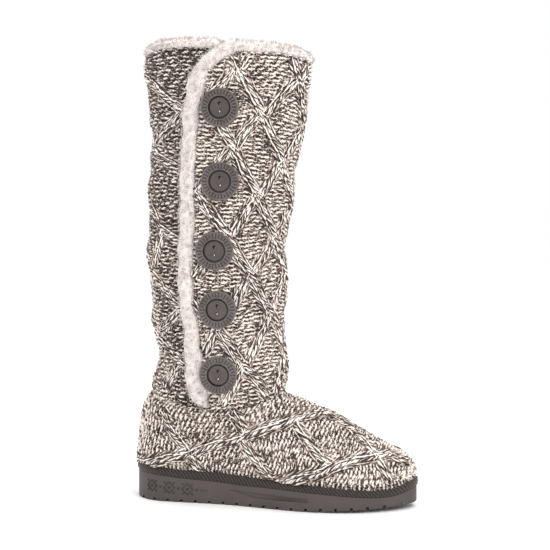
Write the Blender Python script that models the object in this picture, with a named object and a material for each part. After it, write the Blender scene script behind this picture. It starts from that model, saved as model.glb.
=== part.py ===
import bisect
import math

import bmesh
import bpy
from mathutils import Vector

# Knitted slouch boot, right foot. Sizes are in millimetres and become metres when a mesh is made.
# X runs from heel to toe, -Y is the outer side with the buttons, Z is up, the floor is z = 0.
MM = 0.001

# Sole
SOLE_LENGTH = 274.0
BALL_WIDTH = 100.0
HEEL_SETBACK = 38.0
HEEL_STACK = 34.2
TOE_SPRING = 5.2
SPRING_START = 0.60
SPRING_POWER = 1.15
HEEL_ROUNDING = 0.14
TOE_ROUNDING = 0.26
TOE_SWING = 0.06
EDGE_BEVEL = 1.0
SOLE_STEPS = 64
OUTLINE_STEP = 0.03   # radians each way, to read the outline's direction

# Tread notches and the long groove of the outer side
NOTCH_PITCH = 13.95
NOTCH_WIDTH = 2.6
NOTCH_DEPTH = 2.8
NOTCH_COUNT = 19
FIRST_NOTCH = -24.8
FLUTE_START = 64.0
FLUTE_END = 144.5
FLUTE_HEIGHT = 4.0
FLUTE_DEPTH = 1.2
FLUTE_LEVEL = 0.56   # share of the way up the rubber

# Tape round the joint of sole and upper
TAPE_THICKNESS = 2.4
TAPE_PROUD = 1.0

# Knit
WALL = 3.0
GAP = 0.3
CHORD_SLACK = 2.3
INSOLE_THICKNESS = 3.5
CABLE_HEIGHT = 2.0
CABLE_WIDTH = 15.0
CABLE_FADE_TOP = 0.08
CABLE_FADE_BOTTOM = 0.06
FOOT_STEPS = 64
FOOT_MESH_LEVELS = [0.0, 0.09, 0.18, 0.27, 0.35, 0.42, 0.49, 0.56, 0.63, 0.70, 0.77, 0.84, 0.92, 1.0]

# Shaft
BOOT_HEIGHT = 430.0
SEAM_HEIGHT = 104.0
SEAM_DIP = 12.0
SEAM_GATHER = 25.0   # height over which the layers close up into the seam
SHAFT_COLUMNS = 52
SHAFT_ROWS = 24
LATTICE_STEPS = 3
UNDERLAP = 35.0
UNDERLAP_SINK = 1.5
UNDERLAP_SINK_RUN = 25.0
PLAIN_EDGE = 24.0   # no cables this near the fleece of the flap
FLAP_LIFT = 9.0
FLAP_LIFT_AT_SEAM = 5.0
FLAP_BLEND_START = 15.0
FLAP_BLEND = 80.0
CORNER_RADIUS = 30.0

# Fleece edging
FLEECE_DEPTH = 18.0
FLEECE_THICKNESS = 4.4
FLAP_FLEECE_REACH = 15.5
COLLAR_FLEECE_REACH = 10.0
FLEECE_LUMP = 0.9
FLEECE_LUMP_LENGTH = 23.0
FLEECE_LEAST_DEPTH = 4.0   # how far it reaches down inside at its two ends
FLEECE_LEAST_ROOM = 0.8
FLEECE_FACE = 0.8          # under the knit's face where the roll comes out
FLEECE_CROWN = 0.5
FLEECE_SIDE_GAP = 0.1
FLEECE_BARE_END = 20.0     # of the collar, short of the panel's covered end

# Buttons
BUTTON_RADIUS = 17.8
BUTTON_THICKNESS = 5.0
BUTTON_STEPS = 20
BUTTON_CLEARING = 11.0     # no cables this near its rim
BUTTON_CLEARING_REACH = 80.0   # nor on this side further than this from the flap's edge
BUTTON_SEAT = 0.6          # off the flap's face
BUTTON_SEAT_SPAN = 12.0    # the flap's slope is read this far above and below
THREAD_HOLE_RADIUS = 1.5
THREAD_HOLE_SPACING = 7.4

# Sole outline: station along the length, outer half width, inner half width (shares of ball width)
OUTLINE = [
    (0.00, 0.36, 0.36),
    (0.15, 0.37, 0.37),
    (0.38, 0.37, 0.36),
    (0.66, 0.50, 0.46),
    (0.85, 0.46, 0.44),
    (1.00, 0.36, 0.36),
]

# Side of the sole: station, top of the tape, height of the tape (shares of the heel stack)
SOLE_SIDE = [
    (0.00, 1.030, 0.222),
    (0.10, 0.965, 0.212),
    (0.20, 0.908, 0.219),
    (0.32, 0.883, 0.240),
    (0.42, 0.830, 0.240),
    (0.52, 0.787, 0.205),
    (0.62, 0.740, 0.186),
    (0.72, 0.700, 0.187),
    (0.82, 0.625, 0.175),
    (0.90, 0.600, 0.187),
    (0.95, 0.650, 0.205),
    (1.00, 0.820, 0.222),
]

# Foot, a row per level from the tape to the ankle seam:
# share of the rise, back and front (shares of sole length from its back), half width near the ankle
FOOT_LEVELS = [
    (0.000, -0.0010, 0.9950, 0.370),
    (0.125, -0.0058, 1.0000, 0.400),
    (0.200, -0.0044, 0.9938, 0.420),
    (0.288, -0.0015, 0.9792, 0.435),
    (0.361, 0.0000, 0.9580, 0.440),
    (0.418, 0.0011, 0.9307, 0.445),
    (0.473, 0.0022, 0.9004, 0.450),
    (0.526, 0.0033, 0.8679, 0.453),
    (0.570, 0.0044, 0.8339, 0.456),
    (0.623, 0.0062, 0.7974, 0.458),
    (0.678, 0.0088, 0.7664, 0.459),
    (0.738, 0.0124, 0.7354, 0.459),
    (0.791, 0.0161, 0.6989, 0.459),
    (0.850, 0.0219, 0.6606, 0.458),
    (0.925, 0.0336, 0.6131, 0.455),
    (0.975, 0.0453, 0.5730, 0.445),
    (1.000, 0.0566, 0.5383, 0.430),
]
FOOT_CROWN_POWER = 2.2
SIDE_SWELL = 3.5
SIDE_SWELL_RISE = 0.12
ANKLE_BLEND_START = 0.10
ANKLE_BLEND = 0.85
CREST_RISE_PER_MM = 0.012
TAPE_CLEARING = 1.4

# Shaft, a row per section with its soft folds:
# height (share of boot height), back and front (shares of sole length), half width (share of ball width)
SHAFT_SECTIONS = [
    (0.212, 0.0602, 0.5365, 0.430),
    (0.242, 0.0566, 0.5383, 0.435),
    (0.258, 0.0547, 0.5358, 0.445),
    (0.296, 0.0752, 0.5412, 0.450),
    (0.323, 0.0781, 0.5401, 0.453),
    (0.352, 0.0737, 0.5314, 0.456),
    (0.383, 0.0642, 0.5270, 0.460),
    (0.414, 0.0555, 0.5303, 0.464),
    (0.441, 0.0562, 0.5318, 0.468),
    (0.470, 0.0558, 0.5365, 0.471),
    (0.504, 0.0482, 0.5401, 0.475),
    (0.533, 0.0401, 0.5339, 0.478),
    (0.566, 0.0394, 0.5321, 0.481),
    (0.600, 0.0423, 0.5409, 0.484),
    (0.631, 0.0449, 0.5467, 0.488),
    (0.664, 0.0460, 0.5606, 0.492),
    (0.700, 0.0453, 0.5635, 0.496),
    (0.738, 0.0485, 0.5701, 0.500),
    (0.771, 0.0500, 0.5796, 0.503),
    (0.793, 0.0613, 0.5861, 0.505),
    (0.822, 0.0569, 0.5985, 0.508),
    (0.849, 0.0482, 0.6073, 0.510),
    (0.882, 0.0431, 0.6157, 0.513),
    (0.915, 0.0387, 0.6237, 0.516),
    (0.948, 0.0314, 0.6299, 0.518),
    (0.981, 0.0336, 0.6299, 0.520),
    (1.035, 0.0358, 0.6292, 0.520),
]

# Edge of the front flap: height (share of boot height), place from the sole's back (share of its length)
FLAP_EDGE = [
    (0.214, 0.3195),
    (0.240, 0.3150),
    (0.281, 0.3080),
    (0.321, 0.3010),
    (0.363, 0.296),
    (0.405, 0.288),
    (0.447, 0.276),
    (0.507, 0.272),
    (0.563, 0.275),
    (0.605, 0.279),
    (0.644, 0.282),
    (0.735, 0.284),
    (0.788, 0.291),
    (0.842, 0.298),
    (0.884, 0.310),
    (0.926, 0.325),
    (1.035, 0.350),
]

# Top edge of the knit: share of a turn from the front by the inner side, height (share of boot height)
TOP_EDGE = [
    (-0.26, 0.981),
    (-0.12, 0.982),
    (0.00, 0.972),
    (0.25, 0.984),
    (0.50, 0.990),
    (0.64, 1.000),
    (0.74, 0.995),
    (0.85, 0.990),
]

# Cables of the foot, as lines over its side: place along the sole, share of the rise
FOOT_CABLES = [
    [(0.00, 0.14), (0.16, 0.22), (0.30, 0.36), (0.46, 0.56), (0.60, 0.78), (0.70, 0.80)],
    [(0.49, 0.08), (0.58, 0.12), (0.67, 0.22), (0.77, 0.32), (0.88, 0.40), (0.97, 0.30)],
    [(0.10, 0.92), (0.15, 0.62), (0.22, 0.20), (0.26, 0.02)],
    [(0.36, 0.86), (0.42, 0.48), (0.50, 0.08)],
    [(0.56, 0.80), (0.62, 0.50), (0.67, 0.22)],
    [(0.70, 0.80), (0.79, 0.55), (0.86, 0.38), (0.90, 0.08)],
]

# Buttons: place along the sole from its back (share of its length), height (share of the shaft from seam to top)
BUTTON_PLACES = [
    (0.3702, 0.8230),
    (0.3649, 0.6156),
    (0.3427, 0.4184),
    (0.3505, 0.2516),
    (0.3541, 0.0655),
]

# Profile of a button: share of its radius, share of its thickness, from the middle out and round
BUTTON_PROFILE = [
    (0.00, 0.52),
    (0.50, 0.55),
    (0.56, 0.92),
    (0.63, 0.92),
    (0.68, 0.74),
    (0.93, 0.80),
    (1.00, 0.50),
    (0.94, 0.08),
    (0.80, 0.00),
    (0.00, 0.00),
]

for leftover in list(bpy.data.objects):
    bpy.data.objects.remove(leftover, do_unlink=True)


def curve(rows, column, at):
    """Smooth value of one column of a table, keyed by its first column."""
    keys = [row[0] for row in rows]
    at = min(max(at, keys[0]), keys[-1])
    i = min(max(bisect.bisect_right(keys, at) - 1, 0), len(keys) - 2)

    def slope(k):
        low = max(k - 1, 0)
        high = min(k + 1, len(keys) - 1)
        return (rows[high][column] - rows[low][column]) / (keys[high] - keys[low])

    span = keys[i + 1] - keys[i]
    t = (at - keys[i]) / span
    start, end = rows[i][column], rows[i + 1][column]
    return (
        start * (2 * t ** 3 - 3 * t ** 2 + 1)
        + end * (3 * t ** 2 - 2 * t ** 3)
        + slope(i) * span * (t ** 3 - 2 * t ** 2 + t)
        + slope(i + 1) * span * (t ** 3 - t ** 2)
    )


def smooth(t):
    t = min(max(t, 0.0), 1.0)
    return t * t * (3 - 2 * t)


def material(name, colour, roughness):
    made = bpy.data.materials.new(name)
    made.use_nodes = True
    shader = made.node_tree.nodes["Principled BSDF"]
    shader.inputs["Base Color"].default_value = (*colour, 1.0)
    shader.inputs["Roughness"].default_value = roughness
    shader.inputs["Metallic"].default_value = 0.0
    made.diffuse_color = (*colour, 1.0)
    return made


def finish(name, bm, made_of, smooth_faces=True):
    """Turn a bmesh into a named object with its faces facing out."""
    bmesh.ops.remove_doubles(bm, verts=bm.verts[:], dist=0.00001)
    bmesh.ops.recalc_face_normals(bm, faces=bm.faces[:])
    for face in bm.faces:
        face.smooth = smooth_faces
    mesh = bpy.data.meshes.new(name)
    bm.to_mesh(mesh)
    bm.free()
    mesh.materials.append(made_of)
    made = bpy.data.objects.new(name, mesh)
    bpy.context.collection.objects.link(made)
    return made


def add_line(bm, points):
    return [bm.verts.new((x * MM, y * MM, z * MM)) for x, y, z in points]


def join_lines(bm, first, second, closed):
    """Wall of quads between two lines of as many vertices."""
    count = len(first)
    for i in range(count if closed else count - 1):
        j = (i + 1) % count
        bm.faces.new((first[i], first[j], second[j], second[i]))


def cap_ring(bm, ring):
    """Close a ring whose points lie in pairs either side of its first one."""
    count = len(ring)
    half = count // 2
    bm.faces.new((ring[0], ring[1], ring[-1]))
    for i in range(1, half - 1):
        bm.faces.new((ring[i], ring[i + 1], ring[count - i - 1], ring[count - i]))
    bm.faces.new((ring[half - 1], ring[half], ring[half + 1]))


def stitch(bm, fine, coarse):
    """Join a line to one with half as many steps, by triangles."""
    for i in range(len(coarse) - 1):
        left, right = coarse[i], coarse[i + 1]
        a, b, c = fine[2 * i], fine[2 * i + 1], fine[2 * i + 2]
        bm.faces.new((left, a, b))
        bm.faces.new((left, b, right))
        bm.faces.new((right, b, c))


# Sole shape

def half_width(station, outer_side):
    """Half width of the sole at a station, rounded at heel and toe."""
    width = curve(OUTLINE, 1 if outer_side else 2, station) * BALL_WIDTH
    if station < HEEL_ROUNDING:
        width *= math.sqrt(max(1 - ((HEEL_ROUNDING - station) / HEEL_ROUNDING) ** 2, 0))
    toe_start = 1 - TOE_ROUNDING
    if station > toe_start:
        width *= max(1 - ((station - toe_start) / TOE_ROUNDING) ** 2.3, 0) ** (1 / 2.1)
    return width


def swing(station):
    """Sideways drift of the middle line towards the inner side."""
    return TOE_SWING * BALL_WIDTH * max((station - 0.4) / 0.6, 0) ** 1.5


def along_sole(station):
    return station * SOLE_LENGTH - HEEL_SETBACK


def station_at(x):
    return min(max((x + HEEL_SETBACK) / SOLE_LENGTH, 0.0), 1.0)


def ring_angles(steps):
    return [2 * math.pi * i / steps for i in range(steps)]


def outline_point(angle):
    station = (1 - math.cos(angle)) / 2
    side = 1 if math.sin(angle) >= 0 else -1
    y = swing(station) + side * half_width(station, side < 0)
    return along_sole(station), y


def outline_ring(offset, height, steps=SOLE_STEPS):
    """Ring round the sole, moved out by an offset; height is a function of the station."""
    ring = []
    for angle in ring_angles(steps):
        x, y = outline_point(angle)
        before = outline_point(angle - OUTLINE_STEP)
        after = outline_point(angle + OUTLINE_STEP)
        along = Vector((after[0] - before[0], after[1] - before[1])).normalized()
        x -= along.y * offset
        y += along.x * offset
        ring.append((x, y, height(station_at(x))))
    return ring


def spring(station):
    return TOE_SPRING * max((station - SPRING_START) / (1 - SPRING_START), 0) ** SPRING_POWER


def tape_top(station):
    return curve(SOLE_SIDE, 1, station) * HEEL_STACK


def rubber_top(station):
    return tape_top(station) - curve(SOLE_SIDE, 2, station) * HEEL_STACK


def cut(target, cutter):
    """Boolean difference, applied."""
    cutter.hide_render = True
    cutter.display_type = 'WIRE'
    step = target.modifiers.new("cut", 'BOOLEAN')
    step.operation = 'DIFFERENCE'
    step.solver = 'EXACT'
    step.object = cutter
    depsgraph = bpy.context.evaluated_depsgraph_get()
    result = bpy.data.meshes.new_from_object(target.evaluated_get(depsgraph))
    target.modifiers.clear()
    target.data = result
    bpy.data.objects.remove(cutter, do_unlink=True)


def box_into(bm, low, high):
    made = bmesh.ops.create_cube(bm, size=1.0)["verts"]
    size = [(b - a) * MM for a, b in zip(low, high)]
    middle = [(a + b) / 2 * MM for a, b in zip(low, high)]
    bmesh.ops.scale(bm, verts=made, vec=size)
    bmesh.ops.translate(bm, verts=made, vec=middle)
    return made


def build_outsole(made_of):
    bm = bmesh.new()
    rings = [
        outline_ring(-EDGE_BEVEL, spring),
        outline_ring(0.0, lambda s: spring(s) + EDGE_BEVEL),
        outline_ring(0.0, lambda s: rubber_top(s) - EDGE_BEVEL / 2),
        outline_ring(-EDGE_BEVEL / 2, rubber_top),
    ]
    lines = [add_line(bm, ring) for ring in rings]
    for lower, upper in zip(lines, lines[1:]):
        join_lines(bm, lower, upper, True)
    cap_ring(bm, lines[0])
    cap_ring(bm, lines[-1])
    sole = finish("outsole", bm, made_of, smooth_faces=False)
    cut(sole, notch_cutter())
    cut(sole, flute_cutter())
    return sole


def notch_cutter():
    """Slots across the tread; each follows the bottom where the toe springs up."""
    bm = bmesh.new()
    for i in range(NOTCH_COUNT):
        middle = FIRST_NOTCH + i * NOTCH_PITCH
        base = spring(station_at(middle))
        low = (middle - NOTCH_WIDTH / 2, -BALL_WIDTH, base - NOTCH_DEPTH)
        high = (middle + NOTCH_WIDTH / 2, BALL_WIDTH, base + NOTCH_DEPTH)
        box_into(bm, low, high)
    return finish("notch_cutter", bm, bpy.data.materials[0], smooth_faces=False)


def flute_cutter():
    """Tapered groove along the outer side of the sole."""
    bm = bmesh.new()
    corners = [
        (FLUTE_START, 0.8),
        (FLUTE_END, 0.45),
        (FLUTE_END, -0.45),
        (FLUTE_START + 0.35 * (FLUTE_END - FLUTE_START), -0.55),
    ]
    sides = []
    for depth in (FLUTE_DEPTH, -2 * FLUTE_DEPTH):
        line = []
        for x, share in corners:
            station = station_at(x)
            y = swing(station) - half_width(station, True) + depth
            middle = (rubber_top(station) + spring(station)) * FLUTE_LEVEL
            line.append((x, y, middle + share * FLUTE_HEIGHT))
        sides.append(add_line(bm, line))
    join_lines(bm, sides[0], sides[1], True)
    bm.faces.new(sides[0])
    bm.faces.new(sides[1])
    return finish("flute_cutter", bm, bpy.data.materials[0], smooth_faces=False)


def build_tape(made_of):
    bm = bmesh.new()
    inner = TAPE_PROUD - TAPE_THICKNESS
    bulge = 0.5
    sections = [
        (inner, lambda s: rubber_top(s) + GAP),
        (TAPE_PROUD - bulge, lambda s: rubber_top(s) + GAP),
        (TAPE_PROUD, lambda s: rubber_top(s) + 2.0),
        (TAPE_PROUD, lambda s: tape_top(s) - 1.5),
        (TAPE_PROUD - bulge, tape_top),
        (inner, tape_top),
    ]
    lines = [add_line(bm, outline_ring(offset, height)) for offset, height in sections]
    for i, line in enumerate(lines):
        join_lines(bm, line, lines[(i + 1) % len(lines)], True)
    return finish("rand_tape", bm, made_of)


def build_insole(made_of):
    bm = bmesh.new()
    edge = TAPE_PROUD - TAPE_THICKNESS - WALL - 2 * GAP - CHORD_SLACK
    low = add_line(bm, outline_ring(edge, lambda s: rubber_top(s) + GAP, 48))
    high = add_line(bm, outline_ring(edge, lambda s: rubber_top(s) + GAP + INSOLE_THICKNESS, 48))
    join_lines(bm, low, high, True)
    cap_ring(bm, low)
    cap_ring(bm, high)
    return finish("insole", bm, made_of, smooth_faces=False)


# Foot shape

def seam_height(sine):
    return SEAM_HEIGHT - SEAM_DIP * sine * sine


def crest_share(x):
    """Share of the rise at which the top of the foot lies over a place."""
    upper = [row for row in FOOT_LEVELS if row[0] >= 0.09]
    places = [along_sole(row[2]) for row in upper]
    if x < places[-1]:
        return 1.0 + (places[-1] - x) * CREST_RISE_PER_MM
    for (low, high), (far, near) in zip(zip(upper, upper[1:]), zip(places, places[1:])):
        if near <= x <= far:
            return low[0] + (high[0] - low[0]) * (far - x) / max(far - near, 0.001)
    return upper[0][0]


def foot_point(rise, angle):
    """Point of the foot's outer face, by share of the rise and turn round the level."""
    back = along_sole(curve(FOOT_LEVELS, 1, rise))
    front = along_sole(curve(FOOT_LEVELS, 2, rise))
    share = (1 - math.cos(angle)) / 2
    sine = math.sin(angle)
    side = 1 if sine >= 0 else -1
    x = back + share * (front - back)
    station = min((x - back) / max(front - back, along_sole(0.995) - along_sole(0)), 1.0)
    over = min(rise / crest_share(x), 1.0)
    closing = math.sqrt(max(1 - over ** FOOT_CROWN_POWER, 0))
    edge = TAPE_PROUD - TAPE_THICKNESS + GAP
    swell = edge + (SIDE_SWELL - edge) * smooth(rise / SIDE_SWELL_RISE)
    sole_half = (half_width(station, side < 0) + swell * min(abs(sine) * 2, 1.0)) * closing
    blend = smooth((rise - ANKLE_BLEND_START) / ANKLE_BLEND)
    ankle_half = curve(FOOT_LEVELS, 3, rise) * BALL_WIDTH * abs(sine)
    y = (1 - blend) * (swing(station) + side * sole_half) + blend * side * ankle_half
    low = tape_top(station_at(x)) + TAPE_CLEARING
    z = (1 - rise) * low + rise * seam_height(sine)
    return Vector((x, y, z))


def foot_normal(rise, angle):
    step = 0.01
    low, high = max(rise - step, 0.0), min(rise + step, 1.0)
    up = foot_point(high, angle) - foot_point(low, angle)
    round_ = foot_point(rise, angle + step) - foot_point(rise, angle - step)
    return round_.cross(up).normalized() * -1


def line_distance(point, line, across, up):
    """Distance of a point from a line of rows, with shares turned to millimetres."""
    best = 1000.0
    px, py = point[0] * across, point[1] * up
    for (ax, ay), (bx, by) in zip(line, line[1:]):
        start = Vector((ax * across, ay * up))
        run = Vector((bx * across, by * up)) - start
        t = min(max((Vector((px, py)) - start).dot(run) / run.length_squared, 0.0), 1.0)
        best = min(best, (Vector((px, py)) - start - run * t).length)
    return best


def foot_relief(point, rise):
    """Height of the cables over the foot's knit ground."""
    station = station_at(point.x)
    near = min(line_distance((station, rise), line, SOLE_LENGTH, SEAM_HEIGHT - HEEL_STACK)
               for line in FOOT_CABLES)
    fade = smooth((1 - rise) / CABLE_FADE_TOP) * smooth(rise / CABLE_FADE_BOTTOM)
    return CABLE_HEIGHT * fade * max(1 - (2 * near / CABLE_WIDTH) ** 2, 0.0)


def build_foot(made_of):
    bm = bmesh.new()
    angles = ring_angles(FOOT_STEPS)
    behind_tape = TAPE_PROUD - TAPE_THICKNESS - GAP
    outer_rings = [
        outline_ring(behind_tape, lambda s: rubber_top(s) + GAP, FOOT_STEPS),
        outline_ring(behind_tape, lambda s: tape_top(s) + 0.1, FOOT_STEPS),
    ]
    inner_rings = [
        outline_ring(behind_tape - WALL, lambda s: rubber_top(s) + GAP, FOOT_STEPS)[::2],
        outline_ring(behind_tape - WALL, lambda s: tape_top(s) + 0.1, FOOT_STEPS)[::2],
    ]
    levels = FOOT_MESH_LEVELS
    for i, rise in enumerate(levels):
        ring = []
        for angle in angles:
            point = foot_point(rise, angle)
            ring.append(point + foot_normal(rise, angle) * foot_relief(point, rise))
        outer_rings.append(ring)
        if i % 2 == 1 or i == len(levels) - 1:
            inner = []
            for angle in angles[::2]:
                normal = foot_normal(rise, angle)
                if i == len(levels) - 1:
                    normal = Vector((normal.x, normal.y, 0)).normalized()
                inner.append(foot_point(rise, angle) - normal * WALL)
            inner_rings.append(inner)
    outer = [add_line(bm, ring) for ring in outer_rings]
    inner = [add_line(bm, ring) for ring in inner_rings]
    for lines in (outer, inner):
        for lower, upper in zip(lines, lines[1:]):
            join_lines(bm, lower, upper, True)
    for fine, coarse in ((outer[0], inner[0]), (outer[-1], inner[-1])):
        stitch(bm, fine + fine[:1], coarse + coarse[:1])
    return finish("foot_upper", bm, made_of)


# Shaft shape

def section_at(z):
    height = z / BOOT_HEIGHT
    back = along_sole(curve(SHAFT_SECTIONS, 1, height))
    front = along_sole(curve(SHAFT_SECTIONS, 2, height))
    return (front + back) / 2, (front - back) / 2, curve(SHAFT_SECTIONS, 3, height) * BALL_WIDTH


def shaft_point(turn, z, out):
    """Point of the shaft; turn is the angle from the front by the inner side, out is to its face."""
    middle, long_half, wide_half = section_at(z)
    normal = Vector((math.cos(turn) / long_half, math.sin(turn) / wide_half, 0)).normalized()
    point = Vector((middle + long_half * math.cos(turn), wide_half * math.sin(turn), z))
    return point + normal * out


def flap_turn(z):
    """Angle of the flap's edge at a height, on the outer side."""
    middle, long_half, _ = section_at(z)
    place = along_sole(curve(FLAP_EDGE, 1, z / BOOT_HEIGHT))
    return -math.acos((place - middle) / long_half)


def arc_table(z):
    """Angles and arc lengths round the section from the flap's edge on."""
    _, long_half, wide_half = section_at(z)
    steps = 240
    start = flap_turn(z)
    angles = [start + i * 2.4 * math.pi / steps for i in range(steps + 1)]
    lengths = [0.0]
    for a, b in zip(angles, angles[1:]):
        mid = (a + b) / 2
        lengths.append(lengths[-1] + (b - a) * math.hypot(long_half * math.sin(mid),
                                                          wide_half * math.cos(mid)))
    return angles, lengths


def turn_at(z, length):
    """Angle reached after a length of arc from the flap's edge; a negative one goes past it."""
    angles, lengths = arc_table(z)
    if length <= 0:
        return angles[0] + length * (angles[1] - angles[0]) / lengths[1]
    i = min(bisect.bisect_right(lengths, length) - 1, len(angles) - 2)
    return angles[i] + (angles[i + 1] - angles[i]) * (length - lengths[i]) / (lengths[i + 1] - lengths[i])


def sheet_length(z):
    angles, lengths = arc_table(z)
    full = lengths[int(round(2 * math.pi / (angles[1] - angles[0])))]
    return full + UNDERLAP


def flap_lift(length, z):
    """How far the flap stands off the panel beneath it."""
    rise = smooth((z - seam_height(1.0)) / SEAM_GATHER)
    edge = FLAP_LIFT_AT_SEAM + (FLAP_LIFT - FLAP_LIFT_AT_SEAM) * rise
    return edge * (1 - smooth((length - FLAP_BLEND_START) / FLAP_BLEND))


def top_height(length, z):
    """Height of the knit's top edge, with the flap's rounded corner."""
    height = curve(TOP_EDGE, 1, turn_at(z, length) / (2 * math.pi)) * BOOT_HEIGHT
    if length < CORNER_RADIUS:
        height -= CORNER_RADIUS - math.sqrt(CORNER_RADIUS ** 2 - (CORNER_RADIUS - length) ** 2)
    return height


def shaft_grid_place(column, row):
    """Arc length from the flap's edge, height and turn of one grid vertex."""
    share = column / SHAFT_COLUMNS
    guess = share * sheet_length(0.9 * BOOT_HEIGHT)
    high = top_height(guess, 0.97 * BOOT_HEIGHT)
    low = seam_height(math.sin(turn_at(SEAM_HEIGHT, share * sheet_length(SEAM_HEIGHT)))) + 2 * GAP
    z = low + (high - low) * row / SHAFT_ROWS
    length = share * sheet_length(z)
    return length, z, turn_at(z, length)


def shaft_height(share):
    """Height of a share of the way up from the seam to the knit's top."""
    return SEAM_HEIGHT + share * (BOOT_HEIGHT - SEAM_HEIGHT)


def shaft_relief(column, row, length, z, turn):
    """Height of a cable: its lines cross the grid in both diagonals."""
    whole = 2 * LATTICE_STEPS
    if (column + row) % whole and (column - row) % whole:
        return 0.0
    if row in (0, SHAFT_ROWS) or column < 1 or length > sheet_length(z) - UNDERLAP - PLAIN_EDGE:
        return 0.0
    place = shaft_point(turn, z, 0)
    for share, height in BUTTON_PLACES:
        away = math.hypot(place.x - along_sole(share), z - shaft_height(height))
        if away < BUTTON_RADIUS + BUTTON_CLEARING and place.y < 0 and length < BUTTON_CLEARING_REACH:
            return 0.0
    return CABLE_HEIGHT


def underlap_sink(length, z):
    """The panel's end sinks in under the flap near the seam, for the fleece between them."""
    start = sheet_length(z) - UNDERLAP - UNDERLAP_SINK_RUN
    near_seam = 1 - smooth((z - seam_height(1.0)) / SEAM_GATHER)
    return UNDERLAP_SINK * smooth((length - start) / UNDERLAP_SINK_RUN) * near_seam


def build_shaft(made_of):
    bm = bmesh.new()
    outer, inner = [], []
    for row in range(SHAFT_ROWS + 1):
        outer_line, inner_line = [], []
        for column in range(SHAFT_COLUMNS + 1):
            length, z, turn = shaft_grid_place(column, row)
            out = flap_lift(length, z) - underlap_sink(length, z)
            relief = shaft_relief(column, row, length, z, turn)
            outer_line.append(shaft_point(turn, z, out + relief))
            inner_line.append(shaft_point(turn, z, out - WALL))
        outer.append(add_line(bm, outer_line))
        if row % 2 == 0:
            inner.append(add_line(bm, inner_line[::2]))
    for row, (lower, upper) in enumerate(zip(outer, outer[1:])):
        for column in range(SHAFT_COLUMNS):
            a, b = lower[column], lower[column + 1]
            d, c = upper[column], upper[column + 1]
            if (column + row + 1) % (2 * LATTICE_STEPS) == 0:
                bm.faces.new((a, b, d))
                bm.faces.new((b, c, d))
            else:
                bm.faces.new((a, b, c))
                bm.faces.new((a, c, d))
    for lower, upper in zip(inner, inner[1:]):
        join_lines(bm, lower, upper, False)
    stitch(bm, outer[0], inner[0])
    stitch(bm, outer[-1], inner[-1])
    for column in (0, -1):
        stitch(bm, [line[column] for line in outer], [line[column] for line in inner])
    return finish("shaft", bm, made_of)


# Fleece edging: one roll up the flap's edge, round its corner and along the collar

def edging_path():
    """Stations on the knit's edge: arc length, height, way off the knit, reach, share of full size."""
    places = [shaft_grid_place(0, row)[:2] for row in range(1, SHAFT_ROWS + 1)]
    last = SHAFT_COLUMNS - round((UNDERLAP + FLEECE_BARE_END) / sheet_length(BOOT_HEIGHT) * SHAFT_COLUMNS)
    places += [shaft_grid_place(column, SHAFT_ROWS)[:2] for column in range(1, last + 1)]
    stations = []
    for i, (length, z) in enumerate(places):
        before = places[max(i - 1, 0)]
        after = places[min(i + 1, len(places) - 1)]
        run = Vector((after[0] - before[0], after[1] - before[1])).normalized()
        turned = smooth((i - SHAFT_ROWS + 3) / 6)
        reach = FLAP_FLEECE_REACH + (COLLAR_FLEECE_REACH - FLAP_FLEECE_REACH) * turned
        full = smooth((i + 0.2) / 3) * smooth((len(places) - i) / 2.5)
        stations.append((length, z, (-run.y, run.x), reach * (0.6 + 0.4 * full), full))
    return stations


def edging_section(length, reach, full, lift):
    """Outline of the roll: distance past the knit's edge, distance out from its face."""
    leg_face = -(WALL + GAP + CHORD_SLACK)
    room = FLEECE_THICKNESS
    if length < UNDERLAP + FLEECE_THICKNESS:
        room = min(room, max(lift + leg_face - 2.5 * GAP, FLEECE_LEAST_ROOM))
    back = leg_face - room
    depth = FLEECE_LEAST_DEPTH + (FLEECE_DEPTH - FLEECE_LEAST_DEPTH) * full
    side = GAP + FLEECE_SIDE_GAP
    return [
        (-depth, leg_face),
        (0.0, leg_face),
        (side, leg_face + 0.33 * WALL),
        (side, -FLEECE_FACE),
        (0.25 * reach, FLEECE_CROWN),
        (0.60 * reach, 0.4 * FLEECE_CROWN),
        (0.90 * reach, -0.5 * FLEECE_THICKNESS),
        (reach, 0.4 * leg_face + 0.6 * back),
        (0.80 * reach, back + FLEECE_CROWN),
        (0.35 * reach, back),
        (-0.4 * depth, back),
        (-depth, back),
    ]


def build_edging(made_of):
    bm = bmesh.new()
    rings = []
    travelled = 0.0
    before = None
    for length, z, away, reach, full in edging_path():
        here = shaft_point(turn_at(z, length), z, 0)
        if before is not None:
            travelled += (here - before).length
        before = here
        lift = flap_lift(length, z)
        phase = 2 * math.pi * travelled / FLEECE_LUMP_LENGTH
        lump = FLEECE_LUMP * (math.sin(phase) + 0.6 * math.sin(2.3 * phase + 1))
        ring = []
        for past, out in edging_section(length, reach, full, lift):
            past += lump * max(past / reach, 0.0)
            height = z + past * away[1]
            turn = turn_at(height, length + past * away[0])
            ring.append(shaft_point(turn, height, lift + out))
        rings.append(add_line(bm, ring))
    for first, second in zip(rings, rings[1:]):
        join_lines(bm, first, second, True)
    bm.faces.new(rings[0])
    bm.faces.new(rings[-1])
    return finish("fur_edging", bm, made_of)


# Buttons

def button_frame(share, height):
    """Seat on the flap's face and the way out of it."""
    z = shaft_height(height)
    middle, long_half, _ = section_at(z)
    turn = -math.acos((along_sole(share) - middle) / long_half)
    length = (turn - flap_turn(z)) * long_half

    def face(angle, at):
        along = length + (angle - turn) * long_half
        return shaft_point(angle, at, flap_lift(along, at))

    seat = face(turn, z)
    round_ = face(turn + 0.1, z) - face(turn - 0.1, z)
    up = face(turn, z + BUTTON_SEAT_SPAN) - face(turn, z - BUTTON_SEAT_SPAN)
    normal = round_.cross(up).normalized()
    return seat, normal


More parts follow.
